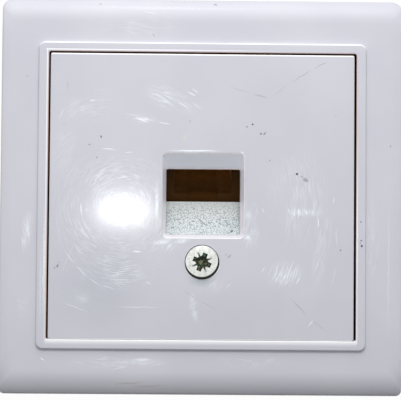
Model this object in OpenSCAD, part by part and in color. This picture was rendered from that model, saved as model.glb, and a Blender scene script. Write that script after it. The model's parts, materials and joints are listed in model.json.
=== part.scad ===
// One-gang surface data outlet: surface box, sheet-steel mounting plate, tilted jack and cover.
// The wall is the plane Y = 0, the front faces -Y, X is to the right and Z is up.

/* [Surface box] */
// Height of the box's side walls, from the wall to the rim
box_d = 38; // [36:0.5:50]
// How far the box stands back inside the cover frame's outline, on each side
box_inset = 1.0; // [0.5:0.1:2]
// Thickness of the box's side walls
box_wall = 2.0; // [1.5:0.1:3]
// Thickness of the box's back
box_back = 2.2; // [1.5:0.1:3]
// Radius of the box's outer corners
box_corner_r = 3; // [2.5:0.1:5]
// Distance between the two screw posts, as a share of the box's width
post_share = 0.7463; // [0.73:0.0001:0.76]
// Outer radius of a screw post
post_r = 3.6; // [3.2:0.1:4.2]
// Depth of the bore in a screw post
post_bore_depth = 16; // [14:0.5:20]
// Thickness of the web between a post and the side wall
post_web = 2.0; // [1:0.1:3]
// Distance of a web's front end behind the rim
web_start = 4; // [3:0.5:8]
// Distance between the wall-screw holes, across and up
wall_hole_spacing = 50; // [46:0.5:52]
// Radius of a wall-screw hole
wall_hole_r = 2.2; // [1.8:0.1:2.6]
// Radius of the pad round a wall-screw hole
wall_pad_r = 4.2; // [3.6:0.1:5]
// Height of the pad round a wall-screw hole
wall_pad_h = 1.2; // [0.5:0.1:2]
// Radius of the cable entry in the box's back
entry_r = 10; // [8:0.5:11]
// Distance of the cable entry below the centre
entry_drop = 20; // [18:0.5:22]
// Width of a breakout panel in a side wall
breakout_w = 16; // [12:0.5:20]
// Length of a breakout panel, from back to front
breakout_l = 14; // [10:0.5:16]
// Distance of a breakout panel from the box's back
breakout_start = 2; // [1:0.5:4]
// Width of the score line round a breakout panel
score_w = 0.9; // [0.6:0.1:1.5]
// Depth of the score line round a breakout panel
score_depth = 1.1; // [0.6:0.1:1.2]

/* [Cover frame] */
// Width of the cover frame
frame_w = 82.4; // [80:0.1:90]
// Height of the cover frame
frame_h = 81.3; // [80:0.1:90]
// Depth of the cover frame, from the box's rim to the flat band
frame_d = 8.4; // [8:0.1:12]
// Thickness of the cover frame's walls
frame_wall = 2.0; // [1.5:0.1:3]
// Radius of the cover frame's outer corners
frame_corner_r = 2.2; // [1.5:0.1:4]
// Radius of the rounded top and bottom edges
roll_r = 6.9; // [6:0.1:7.5]
// Width of the rounded top and bottom edges
roll_w = 4.9; // [3:0.1:5.5]
// Width of the raised ledge round the opening
ledge_w = 2.15; // [1.5:0.05:4]
// Height of the ledge above the flat band
ledge_rise = 0.9; // [0.5:0.1:1.5]
// Radius of the ledge's outer corners
ledge_corner_r = 1.4; // [1:0.1:2]
// Width of the border left and right of the opening
border_w = 9.8; // [9:0.1:11]
// Height of the border above and below the opening
border_h = 11.3; // [10.5:0.1:12]
// Radius of the opening's corners
opening_corner_r = 0.4; // [0.2:0.1:0.5]
// How far the seat reaches in behind the centre plate
seat_w = 2.2; // [1.5:0.1:3]
// Thickness of the seat behind the centre plate
seat_t = 1.8; // [1:0.1:2.2]
// Radius of the corners inside the frame and its seat
inner_corner_r = 1; // [0.5:0.1:2]

/* [Centre plate] */
// Thickness of the centre plate
plate_t = 2.2; // [1.8:0.1:2.4]
// Gap between the centre plate and the frame, left and right
side_gap = 0.32; // [0.1:0.02:0.5]
// Gap above the centre plate
top_gap = 0.3; // [0.1:0.02:0.5]
// Gap below the centre plate
bottom_gap = 0.1; // [0.05:0.01:0.5]
// Sideways place of the aperture's centre
aperture_x = 0.3; // [-1:0.1:1]
// Width of the aperture's outline at the front
aperture_w = 16.7; // [16:0.1:18]
// Height of the aperture's top edge at the front, above the plate's centre
aperture_top = 8.8; // [8.6:0.1:9.4]
// Depth of the aperture's bottom edge at the front, below the plate's centre
aperture_bottom = 8.6; // [8.2:0.1:9]
// Radius of the aperture's corners at the front
aperture_corner_r = 1.0; // [0.5:0.1:1.5]
// How far the left, right and bottom walls of the aperture lean in
aperture_lean = 0.8; // [0.4:0.1:1.2]
// How far the sloped top wall comes down
aperture_slope = 3.25; // [3:0.05:3.5]
// Depth of the collar round the aperture
collar_d = 3.5; // [3:0.1:3.8]
// Thickness of the collar's walls
collar_wall = 1.6; // [1:0.1:2]
// Thickness of the skirt behind the plate's edge
skirt_t = 1.2; // [0.8:0.1:1.6]
// Wall of the boss round the plate screw
boss_wall = 1.2; // [0.8:0.1:1.6]

/* [Plate screw] */
// Diameter of the screw head
head_dia = 7.0; // [6.8:0.1:7.4]
// Height of the head's edge above the centre plate
head_edge = 0.35; // [0.1:0.05:0.5]
// Height of the head's dome above its edge
head_dome = 0.6; // [0.4:0.05:0.8]
// How far the head's edge goes into the centre plate
head_sink = 0.25; // [0.1:0.05:0.4]
// Diameter of the screw's shank
shank_dia = 3.5; // [3.3:0.1:3.6]
// Length and depth of the chamfer at the screw's tip
tip_l = 0.8; // [0.4:0.1:1.2]
// Length of the screw below the centre plate's face
shank_l = 12; // [9:0.5:16]
// Distance of the screw below the plate's centre
screw_drop = 13.5; // [13.2:0.1:14.5]
// Reach of a wing of the cross recess
wing_reach = 1.8; // [1.6:0.05:2]
// Width of a wing of the cross recess
wing_w = 0.83; // [0.7:0.01:0.9]
// Reach of a thin rib of the recess, between the wings
rib_reach = 2.07; // [1.9:0.01:2.2]
// Width of a thin rib of the recess
rib_w = 0.2; // [0.15:0.01:0.3]
// Room between a rib's end and the cone that the recess narrows in
recess_room = 0.4; // [0.2:0.1:0.6]
// Depth of the cross recess below the top of the dome
recess_depth = 1.9; // [1.5:0.1:2.1]
// Turn of the cross recess
recess_turn = 22; // [0:1:90]

/* [Mounting plate] */
// Thickness of the steel sheet
sheet_t = 1.0; // [0.8:0.1:1.1]
// How far the mounting plate stands back from the box's sides
sheet_inset = 4.7; // [3.2:0.1:5.2]
// Height of the mounting plate's two flanges
flange_h = 62; // [56:0.5:66]
// Radius of the flanges' corners
flange_corner_r = 2; // [1:0.5:4]
// Height of the raised middle of the mounting plate
raised_h = 50; // [46:0.5:52]
// Distance of a bend's foot from the box screw beside it
bend_gap = 4.5; // [4.2:0.1:5]
// Width of a bend, from its foot to the raised middle
bend_run = 4; // [3.5:0.1:4.5]
// Gap between the aperture's collar and the raised middle
collar_gap = 0.4; // [0.3:0.1:0.6]
// Half the width of the window in the raised middle
window_half_w = 8.7; // [8.6:0.1:9]
// Height of the window's top edge
window_top = 9.4; // [9.2:0.1:10.8]
// Height of the ramp's lower edge, below the plate's centre
ramp_foot = 8.1; // [8:0.1:8.3]
// Height of the ramp's upper edge, below the plate's centre
ramp_head = 0.6; // [0.5:0.1:0.8]
// How far the ramp reaches back behind the raised middle's face
ramp_reach = 6.2; // [6:0.1:6.3]
// Gap between the ramp and the window, left and right
ramp_gap = 0.35; // [0.2:0.05:0.5]
// Length of the ramp's root in the sheet below its bend
ramp_root = 1.5; // [1.2:0.1:1.6]
// Length of the threaded collar behind the sheet
thread_l = 2.5; // [2:0.1:3]
// Wall of the threaded collar
thread_wall = 1.3; // [1:0.1:1.6]
// Width of the slot for a box screw
slot_w = 3.6; // [3.4:0.1:4]
// Length of the slot for a box screw, between the centres of its ends
slot_l = 4.4; // [2:0.1:6]

/* [Box screws] */
// Diameter of a box screw's shank
box_shank_dia = 2.9; // [2.5:0.1:3.1]
// Length of a box screw's shank
box_shank_l = 14; // [10:0.5:14]
// Diameter of a box screw's head
box_head_dia = 6.0; // [5.4:0.1:6.4]
// Height of a box screw's head
box_head_h = 2.2; // [1.8:0.1:2.4]
// Width of the slot in a box screw's head
box_head_slot = 0.8; // [0.6:0.1:1.2]

/* [Jack] */
// Angle of the jack's axis above the horizontal
jack_tilt = 33; // [31:0.5:34]
// Depth of the mouth's lower edge behind the front
mouth_depth = 10.6; // [10.5:0.1:11.2]
// Height of the mouth's lower edge, below the plate's centre
mouth_drop = 0.3; // [0.2:0.05:0.3]
// Width of the mouth
mouth_w = 11.9; // [11.8:0.05:12]
// Height of the mouth, without the latch notch
mouth_h = 6.85; // [6.8:0.05:6.9]
// Width of the latch notch
notch_w = 6.3; // [6.2:0.05:6.4]
// Height of the latch notch
notch_h = 1.55; // [1.4:0.05:1.6]
// Depth of the mouth's cavity
cavity_l = 13.4; // [13:0.1:14]
// Outer width of the jack
jack_w = 16; // [15.6:0.1:16.1]
// Length of the jack
jack_l = 18; // [17.5:0.1:18.5]
// Thickness of the jack's floor
floor_t = 1.2; // [1:0.1:1.3]
// Thickness of the jack's ceiling
ceiling_t = 2.3; // [2.2:0.1:2.4]
// Height of the contact holder above the mouth
holder_rise = 1.45; // [1.4:0.05:1.5]
// Distance of the contact holder's front end behind the mouth
holder_start = 2.2; // [2:0.1:2.4]
// Margin of the contact holder beside the outer contacts
holder_margin = 0.5; // [0.4:0.1:0.7]
// Height of the contacts' straight run above the mouth
wire_rise = 0.45; // [0.4:0.05:0.5]
// Distance of a contact's front bend behind the mouth
contact_bend_y = 3; // [2.8:0.1:3.2]
// Radius of a contact's front bend
contact_bend_r = 0.4; // [0.3:0.05:0.5]
// Distance of a contact's tip behind the mouth
contact_tip_y = 10.5; // [9.5:0.1:11.5]
// How far a contact's tip comes down into the mouth
contact_dip = 3.5; // [3:0.1:4]
// Length of a contact's tail below the board
contact_tail_l = 0.6; // [0.4:0.1:1]
// Distance between the two rows of contact tails
tail_step = 2.1; // [1.8:0.1:2.2]
// Distance of the first row of contact tails behind the jack
tail_gap = 0.7; // [0.6:0.1:0.9]
// Radius of the pegs that hold the jack on the board
peg_r = 0.8; // [0.6:0.1:1]
// Sideways distance of a peg from the jack's middle
peg_x = 6.2; // [6:0.1:6.4]
// Distance of the pegs behind the mouth
peg_y = 12; // [11:0.5:14]
// Distance between neighbouring contacts
contact_pitch = 1.02; // [1:0.01:1.05]
// Width of a contact's wire
contact_w = 0.46; // [0.4:0.01:0.5]
// Thickness of a contact's wire
contact_t = 0.35; // [0.3:0.01:0.4]

/* [Circuit board and terminals] */
// Thickness of the circuit board
board_t = 1.6; // [1.4:0.1:1.7]
// How far the board's sides stand back from the raised middle's edges
board_margin = 7; // [6.9:0.1:7.1]
// Distance of the board's front edge behind the mouth
board_start = 4; // [4:0.1:5]
// Gap between the carrier's bar and the box's back
back_gap = 1.3; // [0.8:0.1:2.5]
// Distance between neighbouring terminals
terminal_pitch = 2.3; // [2.25:0.01:2.35]
// Width of a terminal block
block_w = 5.6; // [5:0.1:5.6]
// Margin of a terminal block at each end, beside its outer slots
block_margin = 0.2; // [0.1:0.1:0.6]
// Distance of a terminal block from the board's rear edge
block_edge = 0.6; // [0.4:0.1:0.8]
// Height of a terminal block
block_h = 8.5; // [7.5:0.1:9.5]
// Width of the slot that takes a wire
wire_slot_w = 0.9; // [0.7:0.05:1]
// Depth of the slot that takes a wire
wire_slot_depth = 5; // [4:0.1:6]
// Thickness of a terminal's blade
blade_t = 0.4; // [0.3:0.05:0.5]
// Width of a terminal's blade
blade_w = 1.7; // [1.5:0.05:1.8]
// Gap between the two tines of a blade
tine_gap = 0.35; // [0.3:0.05:0.4]

/* [Carrier and cable clamp] */
// Thickness of the carrier's cheeks
cheek_t = 2.4; // [2:0.1:2.4]
// How deep the cheeks' grooves for the board's edges are
groove_depth = 0.7; // [0.5:0.1:0.9]
// Distance of the cheeks' upper corner behind the mouth
cheek_corner_y = 12; // [10:0.5:14]
// Height of the cheeks above the board
cheek_rise = 4; // [3:0.5:5]
// Depth of the cheeks below the board
cheek_drop = 1.8; // [1.4:0.1:2.2]
// Thickness of the carrier's pads behind the mounting plate
pad_t = 2.0; // [1.6:0.1:2.4]
// Width of a carrier pad, outside its cheek
pad_w = 4.6; // [4.4:0.1:4.8]
// Height of a carrier pad
pad_h = 13; // [12:0.5:14]
// Height of the carrier screws above the plate's centre
carrier_screw_z = 3; // [2:0.5:4]
// Diameter of a carrier screw's shank
carrier_shank_dia = 2.3; // [2:0.1:2.5]
// Length of a carrier screw's tip behind its pad
carrier_tip_l = 1.5; // [1:0.1:2]
// Diameter of a carrier screw's head
carrier_head_dia = 4.2; // [3.8:0.1:4.4]
// Height of a carrier screw's head
carrier_head_h = 1.3; // [1:0.1:1.4]
// Length of the bar behind the circuit board
bar_l = 4; // [3.5:0.1:4.2]
// Height of the bar behind the circuit board
bar_h = 3.2; // [2.8:0.1:3.4]
// Height of the bar's top above the board's face
bar_rise = 0.4; // [0.2:0.1:0.6]
// Radius of the cable that the clamp grips
cable_r = 2.8; // [2.5:0.1:3]
// Gap between the cable clamp and the carrier's cheeks, on each side
clamp_gap = 0.8; // [0.5:0.1:2]
// Height of the cable clamp
clamp_h = 4.4; // [4:0.1:5]
// Distance between the clamp's two screws
clamp_screw_spacing = 13; // [12.5:0.1:13.5]
// Diameter of a clamp screw's shank
clamp_shank_dia = 1.9; // [1.7:0.1:2.1]
// Diameter of a clamp screw's head
clamp_head_dia = 3.6; // [3.2:0.1:4]
// Height of a clamp screw's head
clamp_head_h = 1.2; // [1:0.1:1.4]
// Distance of a clamp screw's tip inside the bar's underside
clamp_tip_gap = 0.4; // [0.2:0.1:0.8]
// Width of the slot in a small screw's head
small_head_slot = 0.5; // [0.4:0.1:0.6]

/* [Fits] */
// Clearance between parts that slide together, on each side
fit = 0.15; // [0.1:0.01:0.2]
// Clearance between a screw and its threaded hole, on each side
thread_fit = 0.05; // [0.02:0.01:0.08]

/* [Hidden] */
$fn = 48;
cut = 0.5;

// Planes along Y, from the wall to the front
rim_y = -box_d;
band_y = rim_y - frame_d;
front_y = band_y - ledge_rise;
plate_back_y = front_y + plate_t;
collar_back_y = front_y + collar_d;
raised_y = collar_back_y + collar_gap;
raised_back_y = raised_y + sheet_t;

box_w = frame_w - 2 * box_inset;
box_h = frame_h - 2 * box_inset;
post_spacing = post_share * box_w;

opening_w = frame_w - 2 * border_w;
opening_h = frame_h - 2 * border_h;
plate_w = opening_w - 2 * side_gap;
plate_h = opening_h - top_gap - bottom_gap;
plate_z = (bottom_gap - top_gap) / 2;

// The screw head's cone is a right angle
cone_l = (head_dia - shank_dia) / 2;

sheet_w = box_w - 2 * sheet_inset;
bend_w = post_spacing - 2 * bend_gap;
raised_w = bend_w - 2 * bend_run;

// The jack's own frame: Y runs into the jack, Z is across the mouth, the origin is its lower edge
jack_top = notch_h + mouth_h;
holder_w = 8 * contact_pitch + 2 * holder_margin;
holder_h = jack_top + holder_rise;
wire_run_z = jack_top + wire_rise;
first_tail = jack_l + tail_gap;
board_top = -floor_t;
board_bottom = board_top - board_t;
bar_top = board_top + bar_rise;
bar_bottom = bar_top - bar_h;

// The bar's lower rear edge stays this side of the box's back, and the board ends at the bar
bar_room = -box_back - back_gap - front_y - mouth_depth;
bar_end = (bar_room + bar_bottom * sin(jack_tilt)) / cos(jack_tilt);
bar_start = bar_end - bar_l;
board_end = bar_start - fit;
board_w = raised_w - 2 * board_margin;
cheek_x = board_w / 2 - groove_depth;
carrier_screw_x = cheek_x + cheek_t + pad_w / 2;
block_l = 4 * terminal_pitch + 2 * block_margin;
block_start = board_end - block_edge - block_l;
block_x = cheek_x - fit - block_w / 2;
clamp_w = 2 * (cheek_x - clamp_gap);

// A flat outline in X and Z, given depth along Y, towards the wall from its front face
module upright(front, depth) {
    translate([0, front + depth, 0])
        rotate([90, 0, 0])
            linear_extrude(depth) children();
}

// A side outline in Y and Z, given width along X, centred
module sideways(width) {
    rotate([90, 0, 90])
        translate([0, 0, -width / 2])
            linear_extrude(width) children();
}

module rounded_rect(w, h, r) {
    square([w - 2 * r, h], center = true);
    square([w, h - 2 * r], center = true);
    for (x = [-1, 1], y = [-1, 1])
        translate([x * (w / 2 - r), y * (h / 2 - r)]) circle(r);
}

module at_jack() {
    translate([aperture_x, front_y + mouth_depth, -mouth_drop])
        rotate([jack_tilt, 0, 0]) children();
}

// The outline of a bent strip: its centre line, given thickness on both sides
function unit(v) = v / norm(v);
function left_of(v) = [-v[1], v[0]];
function corner_normal(p, i) =
    let (last = len(p) - 1)
    let (before = unit(p[max(i, 1)] - p[max(i, 1) - 1]))
    let (after = unit(p[min(i, last - 1) + 1] - p[min(i, last - 1)]))
    let (mean = unit(left_of(before) + left_of(after)))
    mean / (mean * left_of(before));
function strip(p, t) = concat(
    [for (i = [0:len(p) - 1]) p[i] + corner_normal(p, i) * t / 2],
    [for (i = [len(p) - 1:-1:0]) p[i] - corner_normal(p, i) * t / 2]
);

// Surface box

module breakout_score() {
    difference() {
        square([breakout_w, breakout_l], center = true);
        square([breakout_w - 2 * score_w, breakout_l - 2 * score_w], center = true);
    }
}

module score_on_wall(half_size) {
    translate([0, -box_back - breakout_start - breakout_l / 2, half_size - score_depth])
        linear_extrude(score_depth + cut) breakout_score();
}

module post_positions() {
    for (side = [-1, 1]) translate([side * post_spacing / 2, 0, 0]) children();
}

module wall_hole_positions() {
    for (x = [-1, 1], z = [-1, 1])
        translate([x * wall_hole_spacing / 2, 0, z * wall_hole_spacing / 2]) children();
}

module box_shell() {
    difference() {
        upright(rim_y, box_d) rounded_rect(box_w, box_h, box_corner_r);
        upright(rim_y - cut, box_d - box_back + cut)
            rounded_rect(box_w - 2 * box_wall, box_h - 2 * box_wall, box_corner_r - box_wall);
    }
}

module box_post() {
    web_l = (box_w - post_spacing) / 2 - box_wall + cut;
    upright(rim_y, box_d - box_back + cut) circle(post_r);
    upright(rim_y + web_start, box_d - box_back - web_start + cut)
        translate([0, -post_web / 2]) square([web_l, post_web]);
}

module surface_box() {
    color("whitesmoke")
    difference() {
        union() {
            box_shell();
            for (turn = [0, 180])
                rotate([0, turn, 0]) translate([post_spacing / 2, 0, 0]) box_post();
            wall_hole_positions()
                upright(-box_back - wall_pad_h, box_back + wall_pad_h) circle(wall_pad_r);
        }
        post_positions() upright(rim_y - cut, post_bore_depth + cut)
            circle(box_shank_dia / 2 + thread_fit);
        wall_hole_positions() upright(-box_back - wall_pad_h - cut, box_back + wall_pad_h + 2 * cut)
            circle(wall_hole_r);
        translate([0, 0, -entry_drop]) upright(-box_back - cut, box_back + 2 * cut) circle(entry_r);
        for (turn = [0, 180]) rotate([0, turn, 0]) score_on_wall(box_h / 2);
        for (turn = [90, 270]) rotate([0, turn, 0]) score_on_wall(box_w / 2);
    }
}

// Cover frame

module frame_side_outline() {
    roll_z = frame_h / 2 - roll_w;
    translate([band_y, -roll_z]) square([frame_d, 2 * roll_z]);
    translate([band_y + roll_r, -frame_h / 2]) square([frame_d - roll_r, frame_h]);
    intersection() {
        for (end = [-1, 1]) translate([band_y + roll_r, end * roll_z]) circle(roll_r, $fn = 96);
        translate([band_y, -frame_h / 2]) square([roll_r, frame_h]);
    }
}

module frame_shell() {
    difference() {
        intersection() {
            sideways(frame_w) frame_side_outline();
            upright(band_y - cut, frame_d + 2 * cut) rounded_rect(frame_w, frame_h, frame_corner_r);
        }
        upright(band_y + frame_wall, frame_d - frame_wall + cut)
            rounded_rect(frame_w - 2 * frame_wall, frame_h - 2 * frame_wall, inner_corner_r);
    }
}

module opening_outline(grow, r) {
    rounded_rect(opening_w + 2 * grow, opening_h + 2 * grow, r);
}

module cover_frame() {
    seat_back_y = plate_back_y + seat_t;
    color("lavender")
    difference() {
        union() {
            frame_shell();
            upright(front_y, ledge_rise + cut) opening_outline(ledge_w, ledge_corner_r);
            upright(band_y + cut, seat_back_y - band_y - cut) opening_outline(frame_wall, inner_corner_r);
        }
        upright(front_y - cut, plate_t + cut) opening_outline(0, opening_corner_r);
        upright(front_y - cut, seat_back_y - front_y + 2 * cut) opening_outline(-seat_w, inner_corner_r);
    }
}

// Centre plate

module aperture_cut() {
    far_y = collar_back_y + cut;
    near_y = front_y - cut;
    half_w = aperture_w / 2;
    intersection() {
        translate([aperture_x, 0, 0]) sideways(aperture_w + 2)
            polygon([
                [near_y, aperture_top], [front_y, aperture_top],
                [collar_back_y, aperture_top - aperture_slope], [far_y, aperture_top - aperture_slope],
                [far_y, aperture_lean - aperture_bottom], [collar_back_y, aperture_lean - aperture_bottom],
                [front_y, -aperture_bottom], [near_y, -aperture_bottom]
            ]);
        translate([aperture_x, 0, 0])
            linear_extrude(4 * aperture_top, center = true)
                polygon([
                    [-half_w, near_y], [-half_w, front_y], [aperture_lean - half_w, collar_back_y],
                    [aperture_lean - half_w, far_y], [half_w - aperture_lean, far_y],
                    [half_w - aperture_lean, collar_back_y], [half_w, front_y], [half_w, near_y]
                ]);
        upright(near_y, far_y - near_y) aperture_outline(0, aperture_corner_r);
    }
}

module aperture_outline(grow, r) {
    translate([aperture_x, (aperture_top - aperture_bottom) / 2])
        rounded_rect(aperture_w + 2 * grow, aperture_top + aperture_bottom + 2 * grow, r);
}

module plate_skirt_outline(inset) {
    opening_outline(-seat_w - fit - inset, inner_corner_r - fit);
}

// The plate screw's own frame: Z points out of the plate, the origin is on its face
module at_plate_screw() {
    translate([0, front_y, -screw_drop]) rotate([90, 0, 0]) children();
}

module screw_cone(grow) {
    translate([0, 0, -head_sink - cone_l])
        cylinder(cone_l, shank_dia / 2 + grow, head_dia / 2 + grow);
}

module centre_plate() {
    skirt_h = seat_t;
    boss_r = head_dia / 2 + boss_wall;
    color("lavender")
    difference() {
        union() {
            upright(front_y, plate_t) translate([0, plate_z])
                rounded_rect(plate_w, plate_h, opening_corner_r);
            upright(front_y + cut, collar_d - cut) aperture_outline(collar_wall, aperture_corner_r);
            translate([0, 0, -screw_drop]) upright(front_y + cut, raised_y - front_y - cut) circle(boss_r);
            difference() {
                upright(plate_back_y - cut, skirt_h + cut) plate_skirt_outline(0);
                upright(plate_back_y, skirt_h + cut) plate_skirt_outline(skirt_t);
            }
        }
        aperture_cut();
        at_plate_screw() {
            screw_cone(thread_fit);
            translate([0, 0, -head_sink]) cylinder(head_sink + cut, r = head_dia / 2 + thread_fit);
            translate([0, 0, -shank_l]) cylinder(shank_l, r = shank_dia / 2 + fit);
        }
    }
}

// Plate screw

module cross_recess() {
    top = head_edge + head_dome;
    intersection() {
        translate([0, 0, top - recess_depth])
            for (k = [0:3]) rotate(recess_turn + 90 * k) {
                translate([0, -wing_w / 2, 0]) cube([wing_reach, wing_w, recess_depth + cut]);
                translate([-wing_w / 2, -wing_w / 2, 0]) cube([wing_w, wing_w, recess_depth + cut]);
                rotate(45) translate([0, -rib_w / 2, 0]) cube([rib_reach, rib_w, recess_depth + cut]);
            }
        union() {
            translate([0, 0, top - recess_depth])
                cylinder(recess_depth, wing_w, rib_reach + recess_room);
            translate([0, 0, top]) cylinder(cut, r = rib_reach + recess_room);
        }
    }
}

module plate_screw() {
    dome_r = (pow(head_dia / 2, 2) + pow(head_dome, 2)) / (2 * head_dome);
    color("silver") at_plate_screw() difference() {
        union() {
            intersection() {
                translate([0, 0, head_edge + head_dome - dome_r]) sphere(dome_r, $fn = 96);
                cylinder(head_edge + head_dome, r = head_dia / 2);
            }
            translate([0, 0, -head_sink]) cylinder(head_sink + head_edge, r = head_dia / 2);
            screw_cone(0);
            translate([0, 0, tip_l - shank_l]) cylinder(shank_l - tip_l, r = shank_dia / 2);
            translate([0, 0, -shank_l]) cylinder(tip_l, shank_dia / 2 - tip_l, shank_dia / 2);
        }
        cross_recess();
    }
}

// Mounting plate

module carrier_screw_positions() {
    for (side = [-1, 1])
        translate([aperture_x + side * carrier_screw_x, 0, carrier_screw_z]) children();
}

module folded_sheet() {
    flange_y = rim_y - sheet_t / 2;
    face_y = raised_y + sheet_t / 2;
    linear_extrude(raised_h, center = true) polygon(strip([
        [-sheet_w / 2, flange_y], [-bend_w / 2, flange_y], [-raised_w / 2, face_y],
        [raised_w / 2, face_y], [bend_w / 2, flange_y], [sheet_w / 2, flange_y]
    ], sheet_t));
    for (side = [-1, 1])
        upright(rim_y - sheet_t, sheet_t)
            translate([side * (sheet_w + bend_w) / 4, 0])
                rounded_rect((sheet_w - bend_w) / 2, flange_h, flange_corner_r);
}

module ramp() {
    face_y = raised_y + sheet_t / 2;
    translate([aperture_x, 0, 0])
        sideways(2 * (window_half_w - ramp_gap)) polygon(strip([
            [face_y, -ramp_foot - ramp_root], [face_y, -ramp_foot],
            [raised_y + ramp_reach + sheet_t / 2, -ramp_head - sheet_t / 2]
        ], sheet_t));
}

module mounting_plate() {
    slot_end = slot_l / 2;
    thread_y = raised_back_y + thread_l;
    color("lightsteelblue")
    difference() {
        union() {
            difference() {
                folded_sheet();
                upright(raised_y - cut, sheet_t + 2 * cut)
                    translate([aperture_x - window_half_w, -ramp_foot])
                        square([2 * window_half_w, window_top + ramp_foot]);
            }
            ramp();
            translate([0, 0, -screw_drop]) upright(raised_y, thread_y - raised_y)
                circle(shank_dia / 2 + thread_wall);
        }
        translate([0, 0, -screw_drop]) upright(raised_y - cut, thread_y - raised_y + 2 * cut)
            circle(shank_dia / 2 + thread_fit);
        post_positions() upright(rim_y - sheet_t - cut, sheet_t + 2 * cut) {
            square([slot_w, slot_l], center = true);
            for (end = [-1, 1]) translate([0, end * slot_end]) circle(slot_w / 2);
        }
        carrier_screw_positions() upright(raised_y - cut, sheet_t + 2 * cut)
            circle(carrier_shank_dia / 2 + fit);
    }
}

// The head's upper part narrows as a cone, and its slot is half as deep as the head
module pan_screw(shank_d, shank_len, head_d, head_len, slot) {
    head_cone = 0.4 * head_len;
    difference() {
        union() {
            translate([0, 0, -shank_len]) cylinder(shank_len, r = shank_d / 2);
            cylinder(head_len - head_cone, r = head_d / 2);
            translate([0, 0, head_len - head_cone]) cylinder(head_cone, head_d / 2, head_d / 2 - head_cone);
        }
        translate([-head_d / 2 - cut, -slot / 2, head_len / 2])
            cube([head_d + 2 * cut, slot, head_len]);
    }
}

module box_screws() {
    color("silver") post_positions() translate([0, rim_y - sheet_t, 0]) rotate([90, 0, 0])
        pan_screw(box_shank_dia, box_shank_l, box_head_dia, box_head_h, box_head_slot);
}

// Jack

module jack_block(x_size, from, to) {
    translate([-x_size / 2, from[0], from[1]]) cube([x_size, to[0] - from[0], to[1] - from[1]]);
}

module peg_positions() {
    for (side = [-1, 1]) translate([side * peg_x, peg_y, 0]) children();
}

module jack_housing() {
    color([0.19, 0.11, 0.05]) at_jack() {
        difference() {
            jack_block(jack_w, [0, -floor_t], [jack_l, jack_top + ceiling_t]);
            jack_block(mouth_w, [-cut, notch_h], [cavity_l, jack_top]);
            jack_block(notch_w, [-cut, 0], [cavity_l, notch_h + cut]);
            jack_block(holder_w + 2 * fit, [holder_start, jack_top - cut], [jack_l + cut, holder_h + fit]);
            jack_block(holder_w + 2 * fit, [cavity_l, 0], [jack_l + cut, jack_top]);
        }
        peg_positions() translate([0, 0, board_bottom]) cylinder(board_t + floor_t / 2, r = peg_r);
    }
}

function contact_x(i) = (i - 4.5) * contact_pitch;
function contact_tail(i) = first_tail + (i % 2) * tail_step;

module contact_channel(i) {
    channel_w = contact_w + fit;
    channel_top = wire_run_z + (contact_t + fit) / 2;
    translate([contact_x(i), 0, 0])
        jack_block(channel_w, [0, jack_top - 2 * contact_t], [jack_l + cut, channel_top]);
}

module contact_holder() {
    color([0.16, 0.1, 0.05]) at_jack() difference() {
        union() {
            jack_block(holder_w, [cavity_l + fit, fit], [jack_l, holder_h]);
            jack_block(holder_w, [holder_start + fit, jack_top], [jack_l, holder_h]);
        }
        for (i = [1:8]) contact_channel(i);
    }
}

module contact(i) {
    tail = contact_tail(i);
    color("gold") at_jack() translate([contact_x(i), 0, 0]) sideways(contact_w) polygon(strip([
        [contact_tip_y, jack_top - contact_dip],
        [contact_bend_y + contact_bend_r, jack_top - contact_bend_r], [contact_bend_y, jack_top],
        [contact_bend_y + contact_bend_r, wire_run_z],
        [tail, wire_run_z], [tail, board_bottom - contact_tail_l]
    ], contact_t));
}

// Circuit board and terminals

module tail_positions() {
    for (i = [1:8]) translate([contact_x(i), contact_tail(i), 0]) children();
}

module circuit_board() {
    color("darkgreen") at_jack() difference() {
        jack_block(board_w, [board_start, board_bottom], [board_end, board_top]);
        tail_positions() translate([0, 0, board_bottom - cut]) cylinder(board_t + 2 * cut, r = 0.4);
        peg_positions() translate([0, 0, board_bottom - cut]) cylinder(board_t + 2 * cut, r = peg_r + fit);
    }
}

function terminal_y(i) = block_start + block_margin + ((i - 1) % 4 + 0.5) * terminal_pitch;
function terminal_x(i) = i <= 4 ? -block_x : block_x;

module terminal_block(first) {
    block_top = board_top + block_h;
    color("ivory") at_jack() difference() {
        translate([terminal_x(first), 0, 0])
            jack_block(block_w, [block_start, board_top], [block_start + block_l, block_top]);
        for (i = [first:first + 3]) translate([terminal_x(i), terminal_y(i), 0]) {
            jack_block(block_w + 2 * cut, [-wire_slot_w / 2, block_top - wire_slot_depth],
                [wire_slot_w / 2, block_top + cut]);
            jack_block(blade_t + fit, [-(blade_w + fit) / 2, board_top - cut],
                [(blade_w + fit) / 2, block_top + cut]);
        }
    }
}

module terminal_block_left() { terminal_block(1); }

module terminal_block_right() { terminal_block(5); }

module terminal(i) {
    blade_top = board_top + block_h - 1;
    color("gold") at_jack() translate([terminal_x(i), terminal_y(i), 0]) difference() {
        jack_block(blade_t, [-blade_w / 2, board_top], [blade_w / 2, blade_top]);
        jack_block(blade_t + 1, [-tine_gap / 2, board_top + 2], [tine_gap / 2, blade_top + cut]);
    }
}

// Carrier and cable clamp

function jack_point(along, across) = [
    front_y + mouth_depth + along * cos(jack_tilt) - across * sin(jack_tilt),
    -mouth_drop + along * sin(jack_tilt) + across * cos(jack_tilt)
];

module cheek_outline() {
    polygon([
        [raised_back_y, carrier_screw_z - pad_h / 2],
        jack_point(board_start + cheek_rise / 2, board_bottom - cheek_drop),
        jack_point(bar_end, bar_bottom),
        jack_point(bar_end, board_top + cheek_rise / 2),
        jack_point(cheek_corner_y, board_top + cheek_rise),
        [raised_back_y, carrier_screw_z + pad_h / 2]
    ]);
}

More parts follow.
